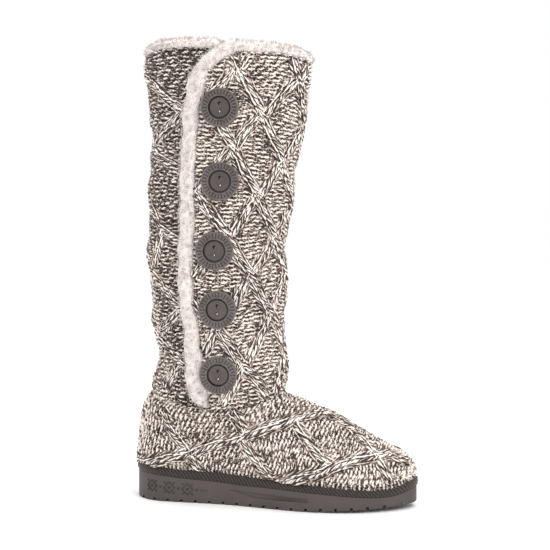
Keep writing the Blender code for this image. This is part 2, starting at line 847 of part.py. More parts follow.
def build_button(name, share, height, made_of):
    bm = bmesh.new()
    profile = [(r * BUTTON_RADIUS, z * BUTTON_THICKNESS) for r, z in BUTTON_PROFILE]
    verts = add_line(bm, [(r, 0.0, z) for r, z in profile])
    edges = [bm.edges.new(pair) for pair in zip(verts, verts[1:])]
    bmesh.ops.spin(bm, geom=verts + edges, axis=(0, 0, 1), cent=(0, 0, 0),
                   steps=BUTTON_STEPS, angle=2 * math.pi, use_merge=True)
    button = finish(name, bm, made_of)
    holes = bmesh.new()
    for sign in (-1, 1):
        made = bmesh.ops.create_cone(holes, segments=8, cap_ends=True,
                                     radius1=THREAD_HOLE_RADIUS * MM, radius2=THREAD_HOLE_RADIUS * MM,
                                     depth=4 * BUTTON_THICKNESS * MM)["verts"]
        bmesh.ops.translate(holes, verts=made, vec=(0, sign * THREAD_HOLE_SPACING / 2 * MM, 0))
    cut(button, finish(name + "_holes", holes, made_of))
    seat, normal = button_frame(share, height)
    up = (Vector((0, 0, 1)) - normal * normal.z).normalized()
    right = up.cross(normal)
    at = (seat + normal * BUTTON_SEAT) * MM
    for vert in button.data.vertices:
        place = vert.co.copy()
        vert.co = at + right * place.x + up * place.y + normal * place.z
    return button


rubber = material("rubber", (0.105, 0.089, 0.083), 0.62)
tape = material("tape", (0.045, 0.030, 0.028), 0.75)
fleece = material("fleece", (0.84, 0.78, 0.72), 0.95)
knit = material("knit", (0.40, 0.33, 0.28), 0.9)
board = material("footbed", (0.62, 0.56, 0.50), 0.9)
plastic = material("button_plastic", (0.085, 0.072, 0.070), 0.38)

build_outsole(rubber)
build_tape(tape)
build_insole(board)
build_foot(knit)
build_shaft(knit)
build_edging(fleece)
for number, (share, height) in enumerate(BUTTON_PLACES, start=1):
    build_button(f"button_{number}", share, height, plastic)
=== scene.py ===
import math

import bmesh
import bpy
import numpy as np
from mathutils import Matrix, Vector
from mathutils.kdtree import KDTree


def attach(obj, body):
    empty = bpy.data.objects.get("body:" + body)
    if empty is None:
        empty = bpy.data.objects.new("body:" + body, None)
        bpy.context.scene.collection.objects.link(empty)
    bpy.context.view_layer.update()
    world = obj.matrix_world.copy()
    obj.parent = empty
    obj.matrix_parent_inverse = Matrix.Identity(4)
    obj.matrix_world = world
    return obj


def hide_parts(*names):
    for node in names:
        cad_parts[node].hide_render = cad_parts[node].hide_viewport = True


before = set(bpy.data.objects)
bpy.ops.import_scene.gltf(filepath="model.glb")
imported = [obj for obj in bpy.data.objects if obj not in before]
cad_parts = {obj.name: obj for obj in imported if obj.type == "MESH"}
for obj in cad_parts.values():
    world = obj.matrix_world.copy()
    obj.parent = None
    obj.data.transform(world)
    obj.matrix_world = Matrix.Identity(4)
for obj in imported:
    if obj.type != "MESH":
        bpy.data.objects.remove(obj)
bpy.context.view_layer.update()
print("frame loaded")

# Knitted slouch boot, right foot. Sizes below are millimetres in the boot's own frame:
# x towards the toe, -y the outer side with the buttons, z up from the floor.
mm = 0.001

shoe = {
    "soleLength": 274.0,
    "ballWidth": 100.0,
    "heelSetback": 38.0,
    "heelStack": 34.2,
    "toeSpring": 5.2,
    "springStart": 0.60,
    "springPower": 1.15,
    "heelRounding": 0.14,
    "toeRounding": 0.26,
    "toeSwing": 0.06,
    "bootHeight": 430.0,
    "seamHeight": 104.0,
    "seamDip": 12.0,
    "seamGather": 25.0,
    "wall": 3.0,
    "gap": 0.3,
}

# station along the sole, outer half width, inner half width (shares of ball width)
outlineRows = [
    (0.00, 0.36, 0.36),
    (0.15, 0.37, 0.37),
    (0.38, 0.37, 0.36),
    (0.66, 0.50, 0.46),
    (0.85, 0.46, 0.44),
    (1.00, 0.36, 0.36),
]

# station, top of the tape, height of the tape (shares of the heel stack)
soleSideRows = [
    (0.00, 1.030, 0.222),
    (0.10, 0.965, 0.212),
    (0.20, 0.908, 0.219),
    (0.32, 0.883, 0.240),
    (0.42, 0.830, 0.240),
    (0.52, 0.787, 0.205),
    (0.62, 0.740, 0.186),
    (0.72, 0.700, 0.187),
    (0.82, 0.625, 0.175),
    (0.90, 0.600, 0.187),
    (0.95, 0.650, 0.205),
    (1.00, 0.820, 0.222),
]

# share of the rise, back and front (shares of sole length), half width near the ankle (of ball width)
footRows = [
    (0.000, -0.0010, 0.9950, 0.370),
    (0.125, -0.0058, 1.0000, 0.400),
    (0.200, -0.0044, 0.9938, 0.420),
    (0.288, -0.0015, 0.9792, 0.435),
    (0.361, 0.0000, 0.9580, 0.440),
    (0.418, 0.0011, 0.9307, 0.445),
    (0.473, 0.0022, 0.9004, 0.450),
    (0.526, 0.0033, 0.8679, 0.453),
    (0.570, 0.0044, 0.8339, 0.456),
    (0.623, 0.0062, 0.7974, 0.458),
    (0.678, 0.0088, 0.7664, 0.459),
    (0.738, 0.0124, 0.7354, 0.459),
    (0.791, 0.0161, 0.6989, 0.459),
    (0.850, 0.0219, 0.6606, 0.458),
    (0.925, 0.0336, 0.6131, 0.455),
    (0.975, 0.0453, 0.5730, 0.445),
    (1.000, 0.0566, 0.5383, 0.430),
]

footForm = {
    "crownPower": 2.2,
    "sideSwell": 3.5,
    "swellRise": 0.12,
    "edgeInset": -1.1,      # foot's face against the sole's outline where it comes out of the tape
    "blendStart": 0.10,
    "blendRun": 0.85,
    "crestRisePerMm": 0.012,
    "tapeClearing": -1.6,
}

# height (share of boot height), back and front (shares of sole length), half width (of ball width)
shaftRows = [
    (0.212, 0.0602, 0.5365, 0.430),
    (0.242, 0.0566, 0.5383, 0.435),
    (0.258, 0.0547, 0.5358, 0.445),
    (0.296, 0.0752, 0.5412, 0.450),
    (0.323, 0.0781, 0.5401, 0.453),
    (0.352, 0.0737, 0.5314, 0.456),
    (0.383, 0.0642, 0.5270, 0.460),
    (0.414, 0.0555, 0.5303, 0.464),
    (0.441, 0.0562, 0.5318, 0.468),
    (0.470, 0.0558, 0.5365, 0.471),
    (0.504, 0.0482, 0.5401, 0.475),
    (0.533, 0.0401, 0.5339, 0.478),
    (0.566, 0.0394, 0.5321, 0.481),
    (0.600, 0.0423, 0.5409, 0.484),
    (0.631, 0.0449, 0.5467, 0.488),
    (0.664, 0.0460, 0.5606, 0.492),
    (0.700, 0.0453, 0.5635, 0.496),
    (0.738, 0.0485, 0.5701, 0.500),
    (0.771, 0.0500, 0.5796, 0.503),
    (0.793, 0.0613, 0.5861, 0.505),
    (0.822, 0.0569, 0.5985, 0.508),
    (0.849, 0.0482, 0.6073, 0.510),
    (0.882, 0.0431, 0.6157, 0.513),
    (0.915, 0.0387, 0.6237, 0.516),
    (0.948, 0.0314, 0.6299, 0.518),
    (0.981, 0.0336, 0.6299, 0.520),
    (1.035, 0.0358, 0.6292, 0.520),
]

# edge of the front flap: height (share of boot height), place from the sole's back (of its length)
flapEdgeRows = [
    (0.214, 0.3195),
    (0.240, 0.3150),
    (0.281, 0.3080),
    (0.321, 0.3010),
    (0.363, 0.2960),
    (0.405, 0.2880),
    (0.447, 0.2760),
    (0.507, 0.2720),
    (0.563, 0.2750),
    (0.605, 0.2790),
    (0.644, 0.2820),
    (0.735, 0.2840),
    (0.788, 0.2910),
    (0.842, 0.2980),
    (0.884, 0.3100),
    (0.926, 0.3250),
    (1.035, 0.3500),
]

# knit's top edge: share of a turn from the front by the inner side, height (share of boot height)
topEdgeRows = [
    (-0.26, 0.981),
    (-0.12, 0.982),
    (0.00, 0.972),
    (0.25, 0.984),
    (0.50, 0.990),
    (0.64, 1.000),
    (0.74, 0.995),
    (0.85, 0.990),
]

flap = {
    "underlap": 35.0,       # how far the rear panel runs on under the flap
    "sink": 1.5,
    "sinkRun": 25.0,
    "lift": 9.0,
    "liftAtSeam": 5.0,
    "blendStart": 15.0,
    "blendRun": 80.0,
    "cornerRadius": 30.0,
}


def tableCurve(rows, column):
    # smooth curve through one column of a table, as a function of its first column
    keys = np.array([row[0] for row in rows])
    values = np.array([row[column] for row in rows])
    last = len(keys) - 1
    low = np.maximum(np.arange(last + 1) - 1, 0)
    high = np.minimum(np.arange(last + 1) + 1, last)
    slopes = (values[high] - values[low]) / (keys[high] - keys[low])
    at = np.linspace(keys[0], keys[-1], 2000)
    i = np.clip(np.searchsorted(keys, at, "right") - 1, 0, last - 1)
    span = keys[i + 1] - keys[i]
    t = (at - keys[i]) / span
    drawn = (values[i] * (2 * t**3 - 3 * t**2 + 1) + values[i + 1] * (3 * t**2 - 2 * t**3)
             + slopes[i] * span * (t**3 - 2 * t**2 + t) + slopes[i + 1] * span * (t**3 - t**2))
    return lambda x: np.interp(x, at, drawn)


def ease(t):
    t = np.clip(t, 0.0, 1.0)
    return t * t * (3 - 2 * t)


def unit(vectors):
    length = np.linalg.norm(vectors, axis=-1, keepdims=True)
    return vectors / np.maximum(length, 1e-9)


def lengthsAlong(places):
    # way walked along a line of places, at each of them
    return np.concatenate([[0], np.cumsum(np.linalg.norm(np.diff(places, axis=0), axis=1))])


def treeOf(places):
    tree = KDTree(len(places))
    for index, place in enumerate(places):
        tree.insert(place, index)
    tree.balance()
    return tree


def runsWhere(mask):
    # indices of each unbroken stretch in which a mask holds
    runs = np.split(np.arange(len(mask)), np.where(np.diff(mask.astype(int)))[0] + 1)
    return [run for run in runs if len(run) and mask[run[0]]]


# Sole lines

outerHalf = tableCurve(outlineRows, 1)
innerHalf = tableCurve(outlineRows, 2)
tapeTopShare = tableCurve(soleSideRows, 1)
tapeHeightShare = tableCurve(soleSideRows, 2)


def soleHalf(station, side):
    # half width of the sole, rounded off at heel and toe
    width = np.where(side < 0, outerHalf(station), innerHalf(station)) * shoe["ballWidth"]
    heel = shoe["heelRounding"]
    width = width * np.sqrt(np.clip(1 - (np.clip(heel - station, 0, None) / heel) ** 2, 0, 1))
    toe = shoe["toeRounding"]
    past = np.clip(station - (1 - toe), 0, None) / toe
    return width * np.clip(1 - past**2.3, 0, 1) ** (1 / 2.1)


def swing(station):
    return shoe["toeSwing"] * shoe["ballWidth"] * np.clip((station - 0.4) / 0.6, 0, None) ** 1.5


def stationAt(x):
    return np.clip((x + shoe["heelSetback"]) / shoe["soleLength"], 0, 1)


def along(station):
    return station * shoe["soleLength"] - shoe["heelSetback"]


def spring(station):
    run = np.clip((station - shoe["springStart"]) / (1 - shoe["springStart"]), 0, None)
    return shoe["toeSpring"] * run ** shoe["springPower"]


def tapeTop(station):
    return tapeTopShare(station) * shoe["heelStack"]


def rubberTop(station):
    return tapeTop(station) - tapeHeightShare(station) * shoe["heelStack"]


def outline(angle):
    station = (1 - np.cos(angle)) / 2
    side = np.where(np.sin(angle) >= 0, 1.0, -1.0)
    return np.stack([along(station), swing(station) + side * soleHalf(station, side)], -1)


def outlineRing(offset, height, steps):
    # ring round the sole, moved out by an offset; height is a function of the station
    angle = np.arange(steps) / steps * 2 * math.pi
    here = outline(angle)
    run = unit(outline(angle + 0.02) - outline(angle - 0.02))
    here = here + np.stack([-run[:, 1], run[:, 0]], -1) * offset
    return np.column_stack([here, height(stationAt(here[:, 0]))])


# Foot and shaft faces, kept as dense grids of places and normals

footBack = tableCurve(footRows, 1)
footFront = tableCurve(footRows, 2)
footHalf = tableCurve(footRows, 3)
crestPlaces = np.array([row[2] for row in footRows if row[0] >= 0.09][::-1])
crestShares = np.array([row[0] for row in footRows if row[0] >= 0.09][::-1])


def crestShare(x):
    first = along(crestPlaces[0])
    behind = 1.0 + (first - x) * footForm["crestRisePerMm"]
    return np.where(x < first, behind, np.interp(x, along(crestPlaces), crestShares))


def footFace(rise, angle):
    back, front = along(footBack(rise)), along(footFront(rise))
    sine = np.sin(angle)
    side = np.where(sine >= 0, 1.0, -1.0)
    x = back + (1 - np.cos(angle)) / 2 * (front - back)
    station = np.minimum((x - back) / np.maximum(front - back, 0.995 * shoe["soleLength"]), 1.0)
    closing = np.sqrt(np.clip(1 - np.clip(rise / crestShare(x), 0, 1) ** footForm["crownPower"], 0, 1))
    swell = footForm["edgeInset"] + (footForm["sideSwell"] - footForm["edgeInset"]) * ease(
        rise / footForm["swellRise"])
    soleSide = (soleHalf(station, side) + swell * np.minimum(np.abs(sine) * 2, 1)) * closing
    blend = ease((rise - footForm["blendStart"]) / footForm["blendRun"])
    ankleSide = footHalf(rise) * shoe["ballWidth"] * np.abs(sine)
    y = (1 - blend) * (swing(station) + side * soleSide) + blend * side * ankleSide
    low = tapeTop(stationAt(x)) + footForm["tapeClearing"]
    seam = shoe["seamHeight"] - shoe["seamDip"] * sine**2
    return np.stack([x, y, (1 - rise) * low + rise * seam], -1)


def gridNormals(grid):
    rows = np.gradient(grid, axis=0)
    columns = np.gradient(grid, axis=1)
    return unit(np.cross(columns, rows))


def lookUp(grid, row, column):
    # bilinear value of a grid, at places counted in its own rows and columns
    row = np.clip(row, 0, grid.shape[0] - 1.001)
    column = np.clip(column, 0, grid.shape[1] - 1.001)
    r, c = row.astype(int), column.astype(int)
    fr, fc = (row - r)[..., None], (column - c)[..., None]
    low = grid[r, c] * (1 - fc) + grid[r, c + 1] * fc
    high = grid[r + 1, c] * (1 - fc) + grid[r + 1, c + 1] * fc
    return low * (1 - fr) + high * fr


footGrid = {"rows": 181, "columns": 721}
riseAxis = np.linspace(0, 1, footGrid["rows"])
angleAxis = np.linspace(0, 2 * math.pi, footGrid["columns"])
footPlaces = footFace(riseAxis[:, None], angleAxis[None, :])
footNormals = gridNormals(footPlaces) * -1
footNormals[:, 0] = footNormals[:, -1] = unit(footNormals[:, 1] + footNormals[:, -2])


def footRound(rise, angle):
    # place and normal of the foot's face, by share of the rise and angle round the foot
    row = rise * (footGrid["rows"] - 1)
    column = angle / (2 * math.pi) * (footGrid["columns"] - 1)
    return lookUp(footPlaces, row, column), unit(lookUp(footNormals, row, column))


def footAt(x, rise, side):
    # the same, over a place along the sole, on one side
    back, front = along(footBack(rise)), along(footFront(rise))
    angle = np.arccos(1 - 2 * np.clip((x - back) / (front - back), 0, 1))
    return footRound(rise, np.where(side < 0, 2 * math.pi - angle, angle))


shaftBack = tableCurve(shaftRows, 1)
shaftFront = tableCurve(shaftRows, 2)
shaftHalf = tableCurve(shaftRows, 3)
flapEdgePlace = tableCurve(flapEdgeRows, 1)
topEdgeShare = tableCurve(topEdgeRows, 1)


def shaftSection(z):
    height = z / shoe["bootHeight"]
    back, front = along(shaftBack(height)), along(shaftFront(height))
    return (front + back) / 2, (front - back) / 2, shaftHalf(height) * shoe["ballWidth"]


def shaftFace(turn, z, out):
    middle, longHalf, wideHalf = shaftSection(z)
    x, y = np.cos(turn), np.sin(turn)
    normal = unit(np.stack([x / longHalf, y / wideHalf], -1))
    place = np.stack([middle + longHalf * x, wideHalf * y], -1) + normal * np.asarray(out)[..., None]
    return np.concatenate([place, np.broadcast_to(z, x.shape)[..., None]], -1)


seamLow = shoe["seamHeight"] - shoe["seamDip"]
collarLevel = 417.0        # height at which lengths along the top edge are counted


def flapLift(length, z):
    rise = ease((z - seamLow) / shoe["seamGather"])
    edge = flap["liftAtSeam"] + (flap["lift"] - flap["liftAtSeam"]) * rise
    return edge * (1 - ease((length - flap["blendStart"]) / flap["blendRun"]))


# turns and arc lengths round each level, from the flap's edge to the end of the panel under it
shaftGrid = {"low": 84.0, "high": 446.0, "rows": 182, "columns": 901}
tableReach = 0.06      # share of the sheet that the table runs on past both its ends
levelAxis = np.linspace(shaftGrid["low"], shaftGrid["high"], shaftGrid["rows"])
turnTable, fullLength = [], []
for level in levelAxis:
    middle, longHalf, wideHalf = shaftSection(level)
    start = -math.acos((along(flapEdgePlace(level / shoe["bootHeight"])) - middle) / longHalf)
    turns = start + np.linspace(-0.1, 1.2, 1301) * 2 * math.pi   # a thousand steps to a turn
    mids = (turns[1:] + turns[:-1]) / 2
    steps = np.diff(turns) * np.hypot(longHalf * np.sin(mids), wideHalf * np.cos(mids))
    lengths = np.concatenate([[0], np.cumsum(steps)])
    lengths -= lengths[100]
    fullLength.append(lengths[1100] + flap["underlap"])
    shares = np.linspace(-tableReach, 1 + tableReach, 1121)
    turnTable.append(np.interp(shares * fullLength[-1], lengths, turns))
turnTable, fullLength = np.array(turnTable), np.array(fullLength)


def sheetLength(z):
    return np.interp(z, levelAxis, fullLength)


def turnAt(length, z):
    row = (z - levelAxis[0]) / (levelAxis[1] - levelAxis[0])
    column = (length / sheetLength(z) + tableReach) * 1000
    return lookUp(turnTable[..., None], row, column)[..., 0]


def seamAt(turn):
    return shoe["seamHeight"] - shoe["seamDip"] * np.sin(turn) ** 2


def topEdge(length):
    # height of the knit's top edge, with the flap's rounded corner
    level = np.full_like(length, 0.97 * shoe["bootHeight"])
    height = topEdgeShare(turnAt(length, level) / (2 * math.pi))
    radius = flap["cornerRadius"]
    inward = np.clip(radius - length, 0, radius)
    return height * shoe["bootHeight"] - (radius - np.sqrt(radius**2 - inward**2))


def panelSink(length, z):
    start = sheetLength(z) - flap["underlap"] - flap["sinkRun"]
    nearSeam = 1 - ease((z - seamLow) / shoe["seamGather"])
    return flap["sink"] * ease((length - start) / flap["sinkRun"]) * nearSeam


shareAxis = np.linspace(-0.03, 1.0, shaftGrid["columns"])
gridLength = shareAxis[None, :] * fullLength[:, None]
gridLevel = np.broadcast_to(levelAxis[:, None], gridLength.shape)
gridOut = flapLift(gridLength, gridLevel) - panelSink(gridLength, gridLevel)
shaftPlaces = shaftFace(turnAt(gridLength, gridLevel), gridLevel, gridOut)
shaftNormals = gridNormals(shaftPlaces)


def shaftAt(length, z):
    # place and normal of the shaft's face, by arc length from the flap's edge and height
    row = (z - levelAxis[0]) / (levelAxis[1] - levelAxis[0])
    share = length / sheetLength(z)
    column = (share - shareAxis[0]) / (shareAxis[1] - shareAxis[0])
    return lookUp(shaftPlaces, row, column), unit(lookUp(shaftNormals, row, column))


print("faces worked out")

# Materials


def linear(hexColour):
    # sRGB hex to linear light
    channels = [int(hexColour[i:i + 2], 16) / 255 for i in (1, 3, 5)]
    return [c / 12.92 if c <= 0.04045 else ((c + 0.055) / 1.055) ** 2.4 for c in channels] + [1.0]


def addNode(tree, kind, values=None, links=None, **settings):
    made = tree.nodes.new("ShaderNode" + kind)
    for name, value in settings.items():
        setattr(made, name, value)
    for name, value in (values or {}).items():
        made.inputs[name].default_value = value
    for name, source in (links or {}).items():
        tree.links.new(source, made.inputs[name])
    return made


def addRamp(tree, source, stops):
    made = addNode(tree, "ValToRGB", links={0: source})
    ramp = made.color_ramp
    while len(ramp.elements) < len(stops):
        ramp.elements.new(1.0)
    for element, (position, colour) in zip(ramp.elements, stops):
        element.position = position
        element.color = linear(colour)
    return made.outputs[0]


def addNoise(tree, scale, detail, roughness=0.5):
    # noise over the object's own coordinates, so many waves to the metre
    coords = addNode(tree, "TexCoord").outputs["Object"]
    settings = {"Scale": scale, "Detail": detail, "Roughness": roughness}
    return addNode(tree, "TexNoise", settings, {"Vector": coords}).outputs[0]


def addMath(tree, operation, first, second, third=None):
    # each of the three is a socket to link or a plain number
    given = {k: one for k, one in enumerate((first, second, third)) if one is not None}
    values = {k: one for k, one in given.items() if isinstance(one, (int, float))}
    links = {k: one for k, one in given.items() if k not in values}
    return addNode(tree, "Math", values, links, operation=operation).outputs[0]


def newMaterial(name, roughness, **sockets):
    made = bpy.data.materials.new(name)
    made.use_nodes = True
    shader = made.node_tree.nodes["Principled BSDF"]
    shader.inputs["Roughness"].default_value = roughness
    for socket, value in sockets.items():
        shader.inputs[socket.replace("_", " ")].default_value = value
    return made, made.node_tree, shader


def finishShader(tree, shader, colour, strength=0, distance=0, height=None):
    # link the colour, and a bump of a height map: its strength and its depth in metres
    tree.links.new(colour, shader.inputs["Base Color"])
    if height:
        bump = addNode(tree, "Bump", {"Strength": strength, "Distance": distance}, {"Height": height})
        tree.links.new(bump.outputs[0], shader.inputs["Normal"])


yarnLook = {
    "cream": "#FBF5EE",
    "creamShade": "#E2D7CD",
    "tan": "#A28D80",
    "brown": "#57443B",
    # groove: painted shade in the twist's groove, darker than the brown ply itself
    "groove": "#20140F",
    "deep": "#3A2B23",    # painted shade for what lies deepest between the stitches, where little light comes
    "toneLength": 9.0,    # mm over which the yarn turns from mostly cream to mostly brown
}


def makeYarn(name, lightness, pairs, plyTurn):
    # loosely twisted wool blend of cream and brown plies: long marled streaks, paler and darker stretches
    made, tree, shader = newMaterial(name, 0.9, Sheen_Weight=0.2, Sheen_Roughness=0.6)
    place = addNode(tree, "UVMap", uv_map="yarn").outputs[0]
    parts = addNode(tree, "SeparateXYZ", links={0: place})
    along = addMath(tree, "MULTIPLY", parts.outputs[0], 10 * pairs / plyTurn)
    around = addMath(tree, "MULTIPLY_ADD", parts.outputs[1], pairs, along)
    phase = addMath(tree, "MULTIPLY_ADD", addNoise(tree, 110.0, 2.0), 3.0, around)
    ply = addMath(tree, "PINGPONG", phase, 1.0)
    tone = addNoise(tree, 1000 / yarnLook["toneLength"], 1.0)
    shift = addNode(tree, "MapRange", {1: 0.3, 2: 0.7, 3: lightness - 0.2, 4: lightness + 0.2}, {0: tone})
    colour = addRamp(tree, addMath(tree, "ADD", ply, shift.outputs[0]), [
        (0.20, yarnLook["groove"]),
        (0.36, yarnLook["brown"]),
        (0.50, yarnLook["tan"]),
        (0.60, yarnLook["creamShade"]),
        (0.74, yarnLook["cream"]),
    ])
    depth = addNode(tree, "Attribute", attribute_name="depth").outputs["Fac"]
    # painted shade: the yarn's colour darkens with its depth between the stitches
    paintedDepthShade = addRamp(tree, depth, [(0.0, yarnLook["deep"]), (0.50, "#BFAFA5"), (1.0, "#FFFFFF")])
    mixed = addNode(tree, "Mix", {0: 1.0}, {6: colour, 7: paintedDepthShade},
                    data_type="RGBA", blend_type="MULTIPLY")
    height = addMath(tree, "MULTIPLY_ADD", addNoise(tree, 900.0, 2.0), 0.8, ply)
    finishShader(tree, shader, mixed.outputs[2], 0.7, 0.0005, height)
    return made


def makeShadeBacking():
    # brushed jersey behind the stitches, matt, its dark colour painted shade so the gaps between the yarns
    # read as deep
    made, tree, shader = newMaterial("shadeBacking", 0.95)
    noise = addNoise(tree, 700.0, 3.0)
    colour = addRamp(tree, noise, [(0.35, "#271C17"), (0.65, "#4A3A31")])
    finishShader(tree, shader, colour, 0.5, 0.0004, noise)
    return made


def makeFleece(name, light, shade, scale, depth, milky):
    # knitted polyester pile, crimped and cut: soft, milky, with curls in clumps
    made, tree, shader = newMaterial(name, 0.95, Sheen_Weight=0.4, Sheen_Roughness=0.5,
                                     Subsurface_Weight=milky, Subsurface_Scale=0.005,
                                     Subsurface_Radius=(1.0, 0.9, 0.8))
    curls = addNoise(tree, scale, 4.0, 0.65)
    # the shade colour falls in the curls' hollows and the light one on their tops: painted shade that
    # follows the bump
    finishShader(tree, shader, addRamp(tree, curls, [(0.30, shade), (0.60, light)]), 0.7, depth, curls)
    return made


def makePile(name, light, shade):
    # crimped polyester strands of the pile: milky, so that light passes through them
    made, tree, shader = newMaterial(name, 0.95, Sheen_Weight=0.3, Sheen_Roughness=0.5)
    colour = addRamp(tree, addNoise(tree, 160.0, 3.0), [(0.35, shade), (0.60, light)])
    finishShader(tree, shader, colour)
    through = addNode(tree, "BsdfTranslucent", links={0: colour})
    body = addNode(tree, "MixShader", {0: 0.5}, {1: shader.outputs[0], 2: through.outputs[0]})
    tree.links.new(body.outputs[0], tree.nodes["Material Output"].inputs["Surface"])
    return made


def makeRubber(name, dark, pale):
    # foamed EVA rubber, moulded: matt taupe with a very fine pebble from the mould
    made, tree, shader = newMaterial(name, 0.6)
    colour = addRamp(tree, addNoise(tree, 30.0, 3.0), [(0.30, dark), (0.70, pale)])
    finishShader(tree, shader, colour, 0.25, 0.0002, addNoise(tree, 1600.0, 2.0))
    return made


tapeLook = {"ground": "#050202", "thread": "#3B302D", "twill": 3.8}   # twill line spacing, mm


def makeTape():
    # cotton twill tape: steep diagonal ribs across a narrow dark band
    made, tree, shader = newMaterial("cottonTwillTape", 0.82, Sheen_Weight=0.15)
    place = addNode(tree, "UVMap", uv_map="tape").outputs[0]
    parts = addNode(tree, "SeparateXYZ", links={0: place})
    lean = addMath(tree, "SUBTRACT", parts.outputs[0], parts.outputs[1])
    angle = addMath(tree, "MULTIPLY", lean, 2 * math.pi * 10 / tapeLook["twill"])
    share = addMath(tree, "MULTIPLY_ADD", addMath(tree, "SINE", angle, None), 0.5, 0.5)
    colour = addRamp(tree, share, [(0.15, tapeLook["ground"]), (0.85, tapeLook["thread"])])
    finishShader(tree, shader, colour, 0.6, 0.0004, share)
    return made


def makeButtonPlastic(name, shade, light):
    # cast polyester resin with a pewter tint, wiped with dark stain: satin, a little cloudy
    made, tree, shader = newMaterial(name, 0.36, Coat_Weight=0.15)
    colour = addRamp(tree, addNoise(tree, 90.0, 4.0), [(0.30, shade), (0.70, light)])
    finishShader(tree, shader, colour, 0.12, 0.0002, addNoise(tree, 1200.0, 2.0))
    return made


def makeThread():
    # bonded polyester sewing thread: dark, slightly glossy, twisted
    made, tree, shader = newMaterial("bondedThread", 0.55)
    coords = addNode(tree, "TexCoord").outputs["Object"]
    twist = addNode(tree, "TexWave", {"Scale": 900.0, "Distortion": 1.0}, {"Vector": coords})
    finishShader(tree, shader, addRamp(tree, twist.outputs[1], [(0.2, "#2A201D"), (0.8, "#6E5F58")]))
    return made


# name, lightness, cream and brown plies in turn round the yarn, mm of yarn for one turn of its plies
groundYarn = makeYarn("marledGroundYarn", 0.16, 2.0, 11.7)
# darker copy of the ground yarn: painted shade for the rear panel
rearShadeYarn = makeYarn("marledYarnPaintedShade", -0.06, 2.0, 11.7)
cableYarn = makeYarn("marledCableYarn", -0.01, 4.0, 22.0)
backing = makeShadeBacking()
pile = makePile("curlyPile", "#E3DCD8", "#D8D1CD")
# the roll under the strands is darker than they are: painted shade deep in the pile
pileBase = makeFleece("pileBase", "#DDD5D0", "#C6BEBA", 160.0, 0.0022, 0.7)
lining = makeFleece("napLining", "#E9DED2", "#C9B9AA", 420.0, 0.0012, 0.0)
rubber = makeRubber("mouldedFoamRubber", "#403836", "#494140")
stampRubber = makeRubber("stampedFoamRubber", "#221C1B", "#2A2322")
twillTape = makeTape()
buttonPlastic = makeButtonPlastic("castResinCentre", "#3B3130", "#4A3F3D")
buttonRim = makeButtonPlastic("castResinRim", "#514947", "#6A625F")
buttonStain = makeButtonPlastic("stainedResin", "#231B1B", "#332929")
thread = makeThread()
print("materials made")

# Meshes from arrays


def addObject(name, data):
    made = bpy.data.objects.new(name, data)
    bpy.context.collection.objects.link(made)
    return made


def finishPiece(name, mesh, materials, replaced):
    # a mesh as a piece that rides with the boot
    for one in materials:
        mesh.materials.append(one)
    piece = addObject(name, mesh)
    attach(piece, "root")
    if replaced:
        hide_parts(*replaced)


def meshFromArrays(name, places, faces, uvName=None, uvs=None):
    # places in millimetres; faces is a list of arrays, each with one face size
    mesh = bpy.data.meshes.new(name)
    mesh.vertices.add(len(places))
    mesh.vertices.foreach_set("co", (places * mm).astype(np.float32).ravel())
    corners = np.concatenate([one.ravel() for one in faces]).astype(np.int32)
    totals = np.concatenate([np.full(len(one), one.shape[1]) for one in faces]).astype(np.int32)
    starts = np.concatenate([[0], np.cumsum(totals)[:-1]]).astype(np.int32)
    mesh.loops.add(len(corners))
    mesh.loops.foreach_set("vertex_index", corners)
    mesh.polygons.add(len(totals))
    mesh.polygons.foreach_set("loop_start", starts)
    mesh.polygons.foreach_set("loop_total", totals)
    mesh.polygons.foreach_set("use_smooth", np.ones(len(totals), dtype=bool))
    if uvs is not None:
        layer = mesh.uv_layers.new(name=uvName)
        flat = np.concatenate([one.reshape(-1, 2) for one in uvs])
        layer.data.foreach_set("uv", flat.astype(np.float32).ravel())
    mesh.update(calc_edges=True)
    mesh.validate()
    return mesh


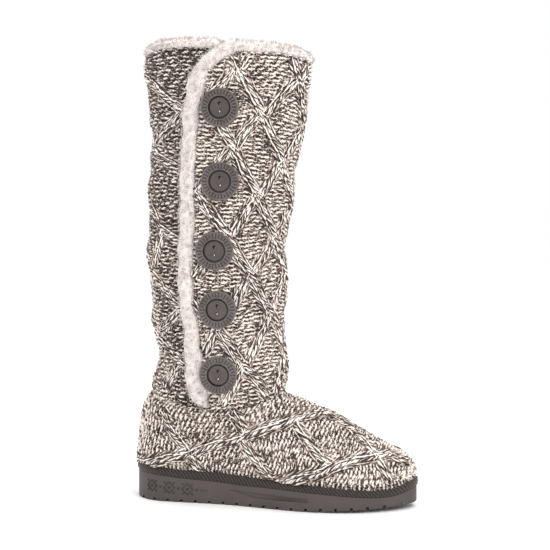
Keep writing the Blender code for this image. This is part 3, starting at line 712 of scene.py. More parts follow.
class YarnStore:
    # gathers tubes of yarn until they become one mesh
    def __init__(self, sides):
        self.sides = sides
        self.places, self.quads, self.caps = [], [], []
        self.quadUvs, self.capUvs, self.depths = [], [], []
        self.count = 0

    def add(self, paths, normals, radii, offset, heights=1.0, span=(0.0, 1.0)):
        # paths and normals are tubes x points x 3; offset shifts each tube's marl along it;
        # heights of the yarn's middle over the fabric, within a span, tell how deep it lies
        # the span sets each point's painted shade, darkest at its low end
        tubes, points = paths.shape[:2]
        run = unit(np.gradient(paths, axis=1))
        first = unit(normals - run * np.sum(normals * run, -1, keepdims=True))
        second = np.cross(run, first)
        turn = np.arange(self.sides) / self.sides * 2 * math.pi
        ring = (first[:, :, None] * np.cos(turn)[:, None] + second[:, :, None] * np.sin(turn)[:, None])
        radii = np.broadcast_to(radii, (tubes, points))[..., None, None]
        risen = np.broadcast_to(heights, (tubes, points))[..., None] + radii[..., 0] * np.cos(turn)
        self.depths.append(((risen - span[0]) / (span[1] - span[0])).ravel())
        self.places.append((paths[:, :, None] + ring * radii).reshape(-1, 3))
        index = np.arange(tubes * points * self.sides).reshape(tubes, points, self.sides) + self.count
        self.count += index.size
        after = np.roll(index, -1, axis=2)
        quads = np.stack([index[:, :-1], after[:, :-1], after[:, 1:], index[:, 1:]], -1)
        self.quads.append(quads.reshape(-1, 4))
        steps = np.linalg.norm(np.diff(paths, axis=1), axis=-1)
        lengths = np.concatenate([np.zeros((tubes, 1)), np.cumsum(steps, axis=1)], 1) / 10
        lengths = lengths + np.broadcast_to(offset, (tubes,))[:, None]
        u = np.broadcast_to(lengths[:, :, None], (tubes, points, self.sides))
        v = np.broadcast_to(np.arange(self.sides) / self.sides, u.shape)
        step = 1 / self.sides
        low = np.stack([u[:, :-1], v[:, :-1]], -1)
        high = np.stack([u[:, 1:], v[:, 1:]], -1)
        side = np.array([0, step])
        self.quadUvs.append(np.stack([low, low + side, high + side, high], 3).reshape(-1, 4, 2))
        self.caps.append(np.concatenate([index[:, 0, ::-1], index[:, -1]]))
        self.capUvs.append(np.stack([u[:, 0], v[:, 0]], -1)[:, ::-1])
        self.capUvs.append(np.stack([u[:, -1], v[:, -1]], -1))

    def mesh(self, name):
        quads, caps = np.concatenate(self.quads), np.concatenate(self.caps)
        uvs = [np.concatenate(self.quadUvs), np.concatenate(self.capUvs)]
        print(name, "triangles", 2 * len(quads) + (self.sides - 2) * len(caps))
        mesh = meshFromArrays(name, np.concatenate(self.places), [quads, caps], "yarn", uvs)
        layer = mesh.attributes.new("depth", "FLOAT", "POINT")
        layer.data.foreach_set("value", np.clip(np.concatenate(self.depths), 0, 1).astype(np.float32))
        return mesh


# Cables: two chains of knit stitches that twist round each other

cable = {
    "pitch": 4.9,          # between stitches along a chain
    "legLength": 13.0,
    "legRadius": 1.22,
    "legSpread": 1.8,      # leg's middle from the chain's middle
    "legLean": 0.17,       # radians between the two legs of a stitch, halved
    "chainSpread": 3.6,    # chain's middle from the cable's middle
    "sway": 0.7,
    "twist": 24.0,         # along which the chains change places in height
    "height": 0.25,
    "crossHeight": 0.45,
    "under": -0.5,         # level of the cables that pass beneath the others
    "clear": 3.3,          # ground stitches stay this far from a cable's middle
    "shortest": 10.0,      # no cable is shorter
    "arch": 5.2,           # each leg bows out in its middle
    "archLevel": 0.8,
    "crown": 0.09,         # the cable rounds off to its sides
    "unevenAlong": 0.25,
    "unevenAcross": 0.18,
    "unevenOut": 0.12,
}

# cables over the outer rear panel: arc length round the shaft, height
rearCables = [
    [(292, 424), (305, 412), (338, 391), (371, 369), (392, 356)],
    [(374, 370), (348, 357), (323, 345), (300, 333)],
    [(296, 352), (313, 342), (334, 332), (355, 322), (385, 306)],
    [(296, 310), (311, 294), (325, 278), (339, 264), (362, 252), (388, 240)],
    [(341, 260), (335, 246), (328, 229), (312, 213), (298, 200)],
    [(292, 250), (308, 234), (330, 214), (352, 195), (386, 168)],
    [(366, 188), (356, 180), (338, 171), (320, 162), (300, 150)],
    [(290, 180), (304, 165), (325, 151), (347, 138), (384, 118)],
    [(350, 134), (338, 122), (326, 110)],
]

lattice = {
    "nominal": 420.0,      # the sheet's length that the chart counts in
    "fallSlope": 0.60,
    "riseSlope": 0.75,
    "fallLines": [120, 181, 231, 272, 320] + [370 + 50 * i for i in range(5)],
    "riseLines": [-281, -220, -161, -109, -62, -11] + [44 + 54 * i for i in range(6)],
    "sway": 2.2,
    "backEdge": 302.0,
}

# cables over the foot's side: place along the boot, share of the rise
footCables = [
    [(-36, 0.02), (13, 0.22), (45, 0.41), (88, 0.66), (121, 0.79), (149, 0.81)],
    [(112, 0.03), (134, 0.11), (152, 0.19), (168, 0.30), (191, 0.373), (213, 0.389), (229, 0.26)],
    [(-2, 0.86), (9, 0.58), (21, 0.37), (32, 0.14), (38, 0.02)],
    [(69, 0.94), (80, 0.73), (84, 0.47), (96, 0.25), (109, 0.06)],
    [(128, 0.78), (140, 0.61), (154, 0.40), (168, 0.29)],
    [(150, 0.80), (166, 0.71), (187, 0.556), (203, 0.41), (209, 0.31), (216, 0.125)],
]


def thickenLine(points, step):
    # even points along a smooth curve through the chart's points
    points = np.array(points, dtype=float)
    chord = lengthsAlong(points)
    rows = [(c, *p) for c, p in zip(chord, points)]
    at = np.linspace(0, chord[-1], max(int(chord[-1] / step), 2))
    return np.column_stack([tableCurve(rows, k + 1)(at) for k in (0, 1)])


def shaftCableLines():
    lines = [(thickenLine(line, 1.0), line[0][1] > line[-1][1] and line[0][0] < line[-1][0])
             for line in rearCables]
    z = np.arange(92.0, 432.0, 1.5)
    chart = [(c, -lattice["fallSlope"]) for c in lattice["fallLines"]]
    chart += [(c, lattice["riseSlope"]) for c in lattice["riseLines"]]
    for number, (start, slope) in enumerate(chart):
        u = start + slope * z + lattice["sway"] * np.sin(z / 34 + number * 1.7)
        inside = (u > 1.5) & (u < lattice["backEdge"])
        lines += [(np.column_stack([u[run], z[run]]), slope < 0)
                  for run in runsWhere(inside) if len(run) > 6]
    return lines


def placeShaftLine(line):
    z = line[:, 1]
    length = line[:, 0] / lattice["nominal"] * sheetLength(z)
    turn = turnAt(length, z)
    keep = (z > seamAt(turn) + 3) & (z < topEdge(length) - 1)
    if keep.sum() < 6:
        return None
    return shaftAt(length[keep], z[keep])


def addCable(store, places, normals, rng, level):
    # lay the stitches of a cable along a line on the boot's face
    lengths = lengthsAlong(places)
    if lengths[-1] < cable["shortest"]:
        return
    phase = rng.uniform(0, 2 * math.pi)

    def read(values, s):
        s = np.clip(s, 0, lengths[-1])
        return np.stack([np.interp(s, lengths, values[:, k]) for k in range(3)], -1)

    def at(s, across, out):
        s = np.clip(s, 0, lengths[-1])
        n = unit(read(normals, s))
        sideways = unit(np.cross(n, read(places, s + 1.5) - read(places, s - 1.5)))
        return read(places, s) + sideways * across[..., None] + n * out[..., None], n

    bend = np.linspace(-0.5, 0.5, 6)
    for chain in (-1, 1):
        count = int(lengths[-1] / cable["pitch"])
        middle = (np.arange(count) + 0.5 + 0.25 * chain) * cable["pitch"]
        for leg in (-1, 1):
            s = middle[:, None] + bend * cable["legLength"] * math.cos(cable["legLean"])
            s = s + rng.normal(0, cable["unevenAlong"], (count, 1))
            turn = math.pi * s / cable["twist"] + phase
            sway = chain * cable["chainSpread"] + cable["sway"] * np.cos(turn)
            lift = chain * cable["crossHeight"] * np.sin(turn)
            lean = bend * cable["legLength"] * math.sin(cable["legLean"])
            across = sway + leg * (cable["legSpread"] + lean)
            across = across + rng.normal(0, cable["unevenAcross"], (count, 1))
            arch = cable["archLevel"] - cable["arch"] * bend**2
            out = level + cable["height"] + lift + arch - cable["crown"] * across**2 / 2
            out = out + rng.normal(0, cable["unevenOut"], (count, 1))
            path, normal = at(s, across, out)
            radii = cable["legRadius"] * (1.06 - 2.0 * bend**2)
            # the legs' heights within this span set their painted shade, darkest where they lie deepest
            store.add(path, normal, radii, rng.uniform(0, 1, count), out, (level - 1.3, level + 1.5))


cableCentres = []
shaftCables, crossingCables = YarnStore(5), YarnStore(5)
rng = np.random.default_rng(11)
buttonGuard = []

buttonClear = {"cables": 13.5, "ground": 11.0}   # yarn stays this far from a button's seat


def nearButtons(places, reach):
    near = np.zeros(len(places), dtype=bool)
    for centre in buttonGuard:
        near |= np.linalg.norm(places - centre, axis=1) < reach
    return near


# place along the sole from its back (share of its length), height (share of boot height)
buttonPlaces = [
    (0.3702, 0.8658),
    (0.3649, 0.7086),
    (0.3427, 0.5591),
    (0.3505, 0.4326),
    (0.3541, 0.2915),
]
buttonSeats = []
for place, height in buttonPlaces:
    z = height * shoe["bootHeight"]
    middle, longHalf, _ = shaftSection(z)
    turn = -math.acos((along(place) - middle) / longHalf)
    edge = float(turnAt(np.array([0.0]), np.array([z]))[0])

    def flapPlace(angle, at):
        reach = np.array([(angle - edge) * float(longHalf)])
        return shaftFace(np.array([angle]), np.array([at]), flapLift(reach, np.array([at])))[0]

    seat = flapPlace(turn, z)
    across = flapPlace(turn + 0.1, z) - flapPlace(turn - 0.1, z)
    upward = flapPlace(turn, z + 12) - flapPlace(turn, z - 12)
    buttonSeats.append((seat, unit(np.cross(across, upward))))
    buttonGuard.append(seat)

for line, falling in shaftCableLines():
    placed = placeShaftLine(line)
    if placed is None:
        continue
    places, normals = placed
    store, level = (shaftCables, 0.0) if falling else (crossingCables, cable["under"])
    for run in runsWhere(~nearButtons(places, buttonClear["cables"])):
        if len(run) > 5:
            addCable(store, places[run], normals[run], rng, level)
    cableCentres.append(places)
finishPiece("shaft_cables", shaftCables.mesh("shaft_cables"), [cableYarn], ["shaft"])
finishPiece("shaft_crossing_cables", crossingCables.mesh("crossing_cables"), [cableYarn], ["shaft"])

footCableStore = YarnStore(5)
for side in (-1, 1):
    for number, line in enumerate(footCables):
        line = thickenLine(line, 1.0)
        places, normals = footAt(line[:, 0], np.clip(line[:, 1], 0, 1), side)
        addCable(footCableStore, places, normals, rng, 0.0 if number < 2 else cable["under"])
        cableCentres.append(places)
finishPiece("foot_cables", footCableStore.mesh("foot_cables"), [cableYarn], ["foot_upper"])

cableTree = treeOf(np.concatenate(cableCentres))
print("cables laid")

# Purl ground: courses of interlocked loops, their heads and feet turned out

purl = {
    "stitchWidth": 6.3,
    "courseHeight": 3.75,
    "reach": 2.15,         # from a course's middle to the top of its loops
    "omega": 0.22,         # how far the loop's legs lean back under its head, by its width
    "slant": 0.5,          # each loop leans down to the front, by so much
    "depth": 1.15,
    "yarnRadius": 1.2,
    "shade": (-3.2, 0.0),  # heights over the face between which the yarn's painted shade turns from dark to light
    "footLean": 0.38,      # how far the foot's courses lean forward, by their height
    "level": -1.85,        # yarn's middle against the shaft's face
    "points": 8,
    "wander": 0.3,
    "wave": 1.3,           # rise and fall of a course along its way
    "stitches": 66,        # round the shaft
    "seamFill": 6.0,       # this near the seam and the top edge no stitch is left out for a cable
    "topFill": 5.0,
    "heelEdge": 0.08,      # the hindmost course starts so far before the heel's end
    "toeEdge": 0.9985,     # the foremost at this station
    "heelRun": 110.0,      # over which the courses come to their full lean, from the heel
    "backRun": 30.0,       # over which their wave comes in, from the back of the foot
}


def loopCourse(store, place, normal, direction, keep, width, rng, slant):
    # place, normal and direction are functions of the way along the course; keep marks its stitches
    for run in runsWhere(keep):
        t = np.arange(len(run) * purl["points"] + 1) / purl["points"]
        turn = t * 2 * math.pi
        way = (run[0] + t + purl["omega"] * np.sin(2 * turn)) * width
        wander = np.repeat(rng.normal(0, purl["wander"], len(run) + 1), purl["points"])[:len(t)]
        up = purl["reach"] * np.cos(turn) * (1.25 - 0.25 * np.cos(turn) ** 2) + wander
        up = up + slant * np.sin(2 * turn)
        out = purl["level"] + purl["depth"] * np.cos(2 * turn) + wander * 0.4
        p, n, d = place(way), normal(way), direction(way)
        sideways = unit(np.cross(n, d))
        path = p + sideways * up[:, None] + n * out[:, None]
        store.add(path[None], n[None], purl["yarnRadius"], rng.uniform(0, 1), out[None], purl["shade"])


def courseFunctions(places, normals):
    lengths = lengthsAlong(places)
    runs = unit(np.gradient(places, axis=0))

    def reader(values):
        def read(way):
            drawn = np.stack([np.interp(way, lengths, values[:, k]) for k in range(3)], -1)
            past = np.clip(way - lengths[-1], 0, None) + np.clip(way, None, 0)
            return drawn + (runs[-1] * past[:, None] if values is places else 0)
        return read

    return lengths[-1], reader(places), reader(normals), reader(runs)


def clearOfCables(places, reach):
    return np.array([cableTree.find(place)[2] > reach for place in places])


courses = int((0.985 * shoe["bootHeight"] - shoe["seamHeight"] + 6) / purl["courseHeight"])
fine = np.linspace(0, 1, 1200)
stores = [YarnStore(4), YarnStore(4), YarnStore(4)]
rearStore = YarnStore(4)
# heights of the seam and the top edge round the shaft, about
guess = fine * sheetLength(300.0)
low = seamAt(turnAt(guess, np.full_like(guess, 200.0))) + 1.0
topTurn = turnAt(guess, np.full_like(guess, collarLevel))
topHere = topEdgeShare(topTurn / (2 * math.pi)) * shoe["bootHeight"]
for course in range(courses):
    share = (course + 0.5) / courses
    store = stores[min(course * 3 // courses, 2)]
    z = low + (topHere - low) * share
    length = fine * (sheetLength(z) - flap["underlap"] + 4)
    calm = np.minimum(share, 1 - share) * 8
    z = z + purl["wave"] * min(calm, 1.0) * (np.sin(length / 17 + z / 23) + np.sin(length / 11 - z / 31 + 2))
    places, normals = shaftAt(length, z)
    total, place, normal, direction = courseFunctions(places, normals)
    width = total / purl["stitches"]
    centres = (np.arange(purl["stitches"]) + 0.5) * width
    middlePlaces = place(centres)
    middleLengths = centres / total * length[-1]
    middleSeam = np.interp(middleLengths, length, low)
    heights, edge = middlePlaces[:, 2], topEdge(middleLengths)
    nearEnds = (heights < middleSeam + purl["seamFill"]) | (heights > edge - purl["topFill"])
    keep = clearOfCables(middlePlaces, cable["clear"]) | nearEnds
    keep &= heights < edge + 1.5
    keep &= ~nearButtons(middlePlaces, buttonClear["ground"])
    atRear = middleLengths > lattice["backEdge"]
    for panel, part in ((store, ~atRear), (rearStore, atRear)):
        loopCourse(panel, place, normal, direction, keep & part, width, rng, -purl["slant"])
for number, store in enumerate(stores):
    finishPiece(f"shaft_ground_{number + 1}", store.mesh("shaft_ground"), [groundYarn], ["shaft"])
# the rear panel gets a darker copy of the yarn: painted shade on the side turned from the key light
finishPiece("shaft_ground_rear", rearStore.mesh("shaft_ground"), [rearShadeYarn], ["shaft"])
print("shaft ground knitted")

# the foot's fabric is turned: its courses run up its sides and over the instep
footGround = YarnStore(4)
front = along(footFront(1.0))
heel = along(footBack(0.0))
ringAngles = np.linspace(0, math.pi, 2000)
ringLine = outline(ringAngles)
ringLengths = lengthsAlong(ringLine)
baseCount = int(ringLengths[-1] / purl["courseHeight"])
bases = np.interp((np.arange(baseCount) + 0.5) / baseCount * ringLengths[-1], ringLengths, ringLine[:, 0])
for base in bases:
    base = float(np.clip(base, heel + purl["heelEdge"], along(purl["toeEdge"])))
    climb = np.sin(np.linspace(0, math.pi / 2, 160))
    back = along(footBack(climb))
    plain = np.where(base < front, front - (front - base) * (front - back) / (front - heel), base)
    tall = shoe["seamHeight"] - float(tapeTop(stationAt(base)))
    tall = min(float(crestShare(np.array(base))), 1.0) * tall
    lean = min(purl["footLean"] * tall, 0.3 * (along(1.0) - base))
    lean = lean * float(ease((base - heel) / purl["heelRun"]))
    sideways = 1 - np.clip(1 - (plain - back) / purl["backRun"], 0, 1) ** 2
    wave = purl["wave"] * sideways * np.sin(climb * math.pi) * (
        np.sin(climb * 6 + base / 15) + np.sin(climb * 11 - base / 21))
    x = plain + lean * climb + wave
    rise = climb * np.where(x > front, np.minimum(crestShare(x), 1.0), 1.0)
    outer, inner = footAt(x, rise, -1), footAt(x, rise, 1)
    if x[-1] < front:
        courseSides = [(outer[0][::-1], outer[1][::-1], -purl["slant"]), (*inner, purl["slant"])]
        if base < heel + 0.4:
            # one more course climbs the middle of the heel
            courseSides.append(((outer[0] + inner[0]) / 2, unit(outer[1] + inner[1]), purl["slant"]))
    else:
        over = [np.concatenate([outer[k], inner[k][::-1][1:]])[::-1] for k in (0, 1)]
        courseSides = [(*over, 0.0)]
    for places, normals, slant in courseSides:
        total, place, normal, direction = courseFunctions(places, normals)
        count = max(int(total / purl["stitchWidth"]), 2)
        width = total / count
        centres = (np.arange(count) + 0.5) * width
        middlePlaces = place(centres)
        low = tapeTop(stationAt(middlePlaces[:, 0])) + 4
        nearEnds = (middlePlaces[:, 2] < low) | (middlePlaces[:, 2] > seamLow)
        keep = clearOfCables(middlePlaces, cable["clear"] - 0.6) | nearEnds
        loopCourse(footGround, place, normal, direction, keep, width, rng, slant)
finishPiece("foot_ground", footGround.mesh("foot_ground"), [groundYarn], ["foot_upper"])
print("foot ground knitted")

# Backing shells behind the stitches, their face dark as painted shade, lined with nap


def closedShell(name, outer, inner, wrap, materials, replaced, slotName):
    # outer and inner are grids of the same size; the wall closes at every free edge
    rows, columns = outer.shape[:2]
    places = np.concatenate([outer.reshape(-1, 3), inner.reshape(-1, 3)])
    index = np.arange(rows * columns).reshape(rows, columns)
    if wrap:
        index = np.concatenate([index, index[:, :1]], 1)
    back = index + rows * columns
    face = np.stack([index[:-1, :-1], index[:-1, 1:], index[1:, 1:], index[1:, :-1]], -1).reshape(-1, 4)
    lining = np.stack([back[:-1, :-1], back[1:, :-1], back[1:, 1:], back[:-1, 1:]], -1).reshape(-1, 4)
    rims = [(index[0], back[0]), (back[-1], index[-1])]
    if not wrap:
        rims += [(back[:, 0], index[:, 0]), (index[:, -1], back[:, -1])]
    edges = [np.stack([b[:-1], b[1:], a[1:], a[:-1]], -1) for a, b in rims]
    mesh = meshFromArrays(name, places, [face, lining, np.concatenate(edges)])
    parts = [np.zeros(len(face)), np.ones(len(lining)), np.zeros(sum(len(e) for e in edges))]
    mesh.polygons.foreach_set("material_index", np.concatenate(parts).astype(np.int32))
    finishPiece(name, mesh, materials, replaced)


shell = {
    "face": -2.6,          # its two sides, against the knit's face
    "lining": -4.2,
    "shaftRows": 60,
    "shaftColumns": 140,
    "footRows": 40,
    "footColumns": 140,
}

columns = np.linspace(0, 1, shell["shaftColumns"])
rows = np.linspace(0, 1, shell["shaftRows"])
guess = columns * sheetLength(collarLevel)
high = topEdge(guess)
atSeam = np.full_like(columns, shoe["seamHeight"])
turn = turnAt(columns * sheetLength(shoe["seamHeight"]), atSeam)
low = seamAt(turn) + 2 * shoe["gap"]
z = low[None, :] + (high - low)[None, :] * rows[:, None]
length = columns[None, :] * sheetLength(z)
places, normals = shaftAt(length, z)
flat = unit(normals * np.array([1, 1, 0.0]))
closedShell("shaft_backing", places + flat * shell["face"], places + flat * shell["lining"], False,
            [backing, lining], ["shaft"], "knit")

behindTape = footForm["edgeInset"] + shell["face"]
rise = np.linspace(0, 1, shell["footRows"])
angle = np.arange(shell["footColumns"]) / shell["footColumns"] * 2 * math.pi
places, normals = footRound(*np.meshgrid(rise, angle, indexing="ij"))
normals[-1] = unit(normals[-1] * np.array([1, 1, 0.0]))
walls = []
for offset, depth in ((behindTape, shell["face"]), (behindTape - shoe["wall"], shell["lining"])):
    # two rings behind the tape, then the rows of the foot's face
    feather = [outlineRing(offset, lambda s: rubberTop(s) + shoe["gap"], len(angle)),
               outlineRing(offset, lambda s: tapeTop(s) + footForm["tapeClearing"] - 0.3, len(angle))]
    walls.append(np.concatenate([np.array(feather), places + normals * depth])[:, ::-1])
closedShell("foot_backing", *walls, True, [backing, lining], ["foot_upper"], "knit")
print("backing made")

# Fleece edging: a lumpy roll with thousands of crimped strands

edging = {
    "leg": -(shoe["wall"] + shoe["gap"] + 2.3),   # outer side of the strip inside the leg
    "thickness": 4.4,
    "depth": 18.0,
    "flapReach": 16.5,
    "hemReach": 19.5,      # where the flap's strip widens towards the seam
    "hemRise": 60.0,
    "endRound": 9.0,
    "collarReach": 9.5,
    "cornerSwell": 4.0,    # more of it where the edge turns the flap's corner
    "runOn": 6.0,          # the roll runs on under the flap, past the end of the panel that shows
    "crown": 10,           # profile point near the roll's farthest reach
    "turnBefore": 10,      # stations before the corner where the strip starts to narrow
    "turnRun": 40,         # stations that this takes
    "swellAfter": 4,       # the corner's swell, in stations past the corner, and its run
    "swellRun": 14,
    "bump": 0.07,          # lumps, in shares of the reach
    "bumpOut": 0.5,        # and outward, in millimetres
    "sidewaysLean": 0.45,
    "droop": -0.05,
    "strands": 6400,
    "strandLength": 3.4,
    "strandRadius": 0.30,
    "tufts": 900,
}


def edgingStations():
    # way along the knit's edge: arc length, height, direction off the knit, reach, share of full size
    corner = float(topEdge(np.array([0.0]))[0])
    low = seamLow + 1.5
    upZ = np.linspace(low, corner, 110)
    around = np.linspace(0, math.pi / 2, 22)[1:]
    end = float(sheetLength(collarLevel)) - flap["underlap"] + edging["runOn"]
    acrossLength = np.linspace(flap["cornerRadius"], end, 140)[1:]
    radius = flap["cornerRadius"]
    length = np.concatenate([np.zeros_like(upZ), radius * (1 - np.cos(around)), acrossLength])
    z = np.concatenate([upZ, topEdge(length[len(upZ):])])
    run = unit(np.gradient(np.column_stack([length, z]), axis=0))
    fromCorner = np.arange(len(z)) - len(upZ)
    turned = ease((fromCorner + edging["turnBefore"]) / edging["turnRun"])
    hem = 1 - ease((z - low - 25) / edging["hemRise"])
    reach = edging["flapReach"] + (edging["hemReach"] - edging["flapReach"]) * hem
    reach = reach + (edging["collarReach"] - reach) * turned
    swell = np.exp(-((fromCorner - edging["swellAfter"]) / edging["swellRun"]) ** 2)
    reach = reach + edging["cornerSwell"] * swell
    walked = np.concatenate([[0], np.cumsum(np.hypot(np.diff(length), np.diff(z)))])
    full = ease((walked + 8) / 16) * ease((walked[-1] - walked + 3) / 16)
    rounding = np.sqrt(1 - (1 - np.clip(walked / edging["endRound"] + 0.05, 0, 1)) ** 2)
    reach = reach * rounding * (0.6 + 0.4 * ease((walked[-1] - walked + 3) / 16))
    return length, z, -run[:, 1], run[:, 0], reach, full, walked


def lumps(walked, around, seed):
    # soft uneven swelling of the roll, in shares of its reach
    value = np.zeros(np.broadcast(walked, around).shape)
    local = np.random.default_rng(seed)
    for wave in (31.0, 17.0, 10.0, 6.5):
        for _ in range(3):
            tilt = local.uniform(-1.5, 1.5)
            phase = 2 * math.pi * (walked / wave + around * tilt) + local.uniform(0, 7)
            value = value + wave / 31 * np.sin(phase)
    return value / 3


def edgingGrid():
    length, z, awayU, awayZ, reach, full, walked = edgingStations()
    lift = flapLift(length, z)
    room = np.where(length < flap["underlap"] + 5,
                    np.minimum(edging["thickness"], np.maximum(lift + edging["leg"] - 0.75, 0.8)),
                    edging["thickness"])
    depth = 4 + (edging["depth"] - 4) * full
    # share of reach beyond the knit's edge, or of depth behind it, and share from face to back
    profile = [(-1.0, 0.0), (-0.5, 0.0), (0.0, 0.0), (0.05, 0.25), (0.06, 0.80), (0.16, 1.12), (0.32, 1.22),
               (0.52, 1.18), (0.72, 1.02), (0.88, 0.74), (0.97, 0.42), (1.00, 0.10), (0.96, -0.25),
               (0.84, -0.55), (0.66, -0.80), (0.45, -0.95), (0.2, -1.0), (-0.4, -1.0), (-1.0, -1.0)]
    rings = []
    lump = lumps(walked[:, None], np.arange(len(profile))[None, :] / len(profile), 5)
    for k, (past, out) in enumerate(profile):
        beyond = (past + edging["bump"] * lump[:, k]) * reach if past > 0 else past * depth
        outward = edging["leg"] * (1 - out) if out > 0 else edging["leg"] + out * room
        outward = outward + (edging["bumpOut"] * lump[:, k] if out > 0.2 else 0)
        height = z + beyond * awayZ
        rings.append(shaftFace(turnAt(length + beyond * awayU, height), height, lift + outward))
    return np.array(rings).transpose(1, 0, 2), walked


roll, walked = edgingGrid()
stations, around = roll.shape[:2]
index = np.arange(stations * around).reshape(stations, around)
after = np.roll(index, -1, axis=1)
quads = np.stack([index[:-1], after[:-1], after[1:], index[1:]], -1).reshape(-1, 4)
caps = np.stack([index[0][::-1], index[-1]])
rollMesh = meshFromArrays("fur_edging_roll", roll.reshape(-1, 3), [quads, caps])
bm = bmesh.new()
bm.from_mesh(rollMesh)
bmesh.ops.recalc_face_normals(bm, faces=bm.faces[:])
bm.to_mesh(rollMesh)
bm.free()
finishPiece("fur_edging_roll", rollMesh, [pileBase], ["fur_edging"])

rollNormals = unit(np.cross(np.gradient(roll, axis=1), np.gradient(roll, axis=0)))
middleOfRoll = roll.mean(axis=1, keepdims=True)
flip = np.sign(np.sum(rollNormals * (roll - middleOfRoll), -1, keepdims=True))
rollNormals = rollNormals * np.where(flip == 0, 1, np.sign(flip.sum()))


def sampleRoll(rng, count, lowRing, highRing):
    chance = lengthsAlong(roll[:, edging["crown"]])
    row = np.interp(rng.uniform(0, chance[-1], count), chance, np.arange(stations))
    column = rng.uniform(lowRing, highRing, count)
    return lookUp(roll, row, column), unit(lookUp(rollNormals, row, column))


def addStrands(name, count, tufts, lowRing, highRing, longest, seed):
    # crimped strands, gathered into tufts whose tips lean together
    rng = np.random.default_rng(seed)
    roots, normals = sampleRoll(rng, count, lowRing, highRing)
    heads, headNormals = sampleRoll(rng, tufts, lowRing, highRing)
    tree = treeOf(heads)
    lean = unit(rng.normal(0, 1, (tufts, 3))) * edging["sidewaysLean"] + np.array([0, 0, edging["droop"]])
    tips = heads + unit(headNormals + lean) * longest * rng.uniform(0.75, 1.1, (tufts, 1))
    nearest = np.array([tree.find(root)[1] for root in roots])
    own = unit(normals + rng.normal(0, 0.35, (count, 3))) * longest
    own = roots + own * rng.uniform(0.5, 1.15, (count, 1))
    gather = rng.uniform(0.35, 0.8, (count, 1))
    ends = own * (1 - gather) + tips[nearest] * gather
    share = np.array([0.0, 0.36, 0.70, 1.0])
    curl = np.cross(normals, unit(rng.normal(0, 1, (count, 3)))) * rng.uniform(0.2, 1.0, (count, 1))
    paths = roots[:, None] - normals[:, None] * 0.8
    paths = paths + (ends - roots)[:, None] * share[:, None]
    paths = paths + curl[:, None] * np.sin(share * 2 * math.pi)[:, None]
    paths = paths + normals[:, None] * (1.2 * np.sin(share * math.pi))[:, None]
    radii = edging["strandRadius"] * np.array([1.0, 0.9, 0.62, 0.12]) * rng.uniform(0.7, 1.2, (count, 1))
    store = YarnStore(3)
    hint = unit(rng.normal(0, 1, (count, 4, 3)))[:, :1]
    store.add(paths, np.broadcast_to(hint, paths.shape), radii, 0.0)
    strands = store.mesh(name)
    strands.shade_flat()
    finishPiece(name, strands, [pile], ["fur_edging"])


addStrands("fur_strands", edging["strands"], edging["tufts"], 3.0, 17.0, edging["strandLength"], 21)
print("fleece combed")

# Outsole: moulded wedge with notched tread, long groove and a stamped band of diamonds

tread = {
    "steps": 200,
    "bevel": 1.0,
    "notchPitch": 13.95,
    "notchWidth": 2.6,
    "notchDepth": 2.8,
    "notches": 19,
    "firstNotch": -24.8,   # x of its middle
    "fluteStart": 64.0,    # the groove's ends, in x
    "fluteEnd": 144.5,
    "fluteHeight": 4.0,
    "fluteDepth": 1.2,
    "fluteLevel": 0.56,    # share of the side's height
}


def addRing(bm, places):
    return [bm.verts.new(Vector(place) * mm) for place in places]


def joinRings(bm, lower, upper):
    count = len(lower)
    for i in range(count):
        j = (i + 1) % count
        bm.faces.new((lower[i], lower[j], upper[j], upper[i]))


def capRing(bm, ring):
    # close a ring across, between points that lie opposite each other
    count = len(ring)
    half = count // 2
    bm.faces.new((ring[0], ring[1], ring[-1]))
    for i in range(1, half - 1):
        bm.faces.new((ring[i], ring[i + 1], ring[count - i - 1], ring[count - i]))
    bm.faces.new((ring[half - 1], ring[half], ring[half + 1]))


def meshOf(name, bm, smooth):
    bmesh.ops.remove_doubles(bm, verts=bm.verts[:], dist=0.000005)
    bmesh.ops.recalc_face_normals(bm, faces=bm.faces[:])
    for face in bm.faces:
        face.smooth = smooth
    mesh = bpy.data.meshes.new(name)
    bm.to_mesh(mesh)
    bm.free()
    return mesh


def cutAway(mesh, cutter):
    # boolean difference of two meshes
    target, tool = addObject("cutTarget", mesh), addObject("cutTool", cutter)
    step = target.modifiers.new("cut", "BOOLEAN")
    step.operation = "DIFFERENCE"
    step.solver = "EXACT"
    step.object = tool
    graph = bpy.context.evaluated_depsgraph_get()
    result = bpy.data.meshes.new_from_object(target.evaluated_get(graph))
    for one in (target, tool):
        bpy.data.objects.remove(one)
    return result


def boxInto(bm, low, high):
    made = bmesh.ops.create_cube(bm, size=1.0)["verts"]
    bmesh.ops.scale(bm, verts=made, vec=[(b - a) * mm for a, b in zip(low, high)])
    bmesh.ops.translate(bm, verts=made, vec=[(a + b) / 2 * mm for a, b in zip(low, high)])


def stackRings(bm, plan, steps):
    # closed solid of rings that follow the outline; the plan gives their offsets and heights
    rings = [addRing(bm, outlineRing(offset, height, steps)) for offset, height in plan]
    for lower, upper in zip(rings, rings[1:]):
        joinRings(bm, lower, upper)
    capRing(bm, rings[0])
    capRing(bm, rings[-1])


def fillBetween(bm, first, last):
    # solid between two small rings
    joinRings(bm, first, last)
    bm.faces.new(first)
    bm.faces.new(last)


def outerSide(station):
    # y of the sole's side under the buttons
    return swing(station) - soleHalf(station, np.array(-1.0))


bm = bmesh.new()
bevel = tread["bevel"]
ringPlan = [
    (-bevel, spring), (-0.3 * bevel, lambda s: spring(s) + 0.3 * bevel), (0.0, lambda s: spring(s) + bevel),
    (0.0, lambda s: rubberTop(s) - 1.2), (-0.15, lambda s: rubberTop(s) - 0.5), (-0.6, rubberTop),
]
stackRings(bm, ringPlan, tread["steps"])
soleMesh = meshOf("outsole_rubber", bm, False)

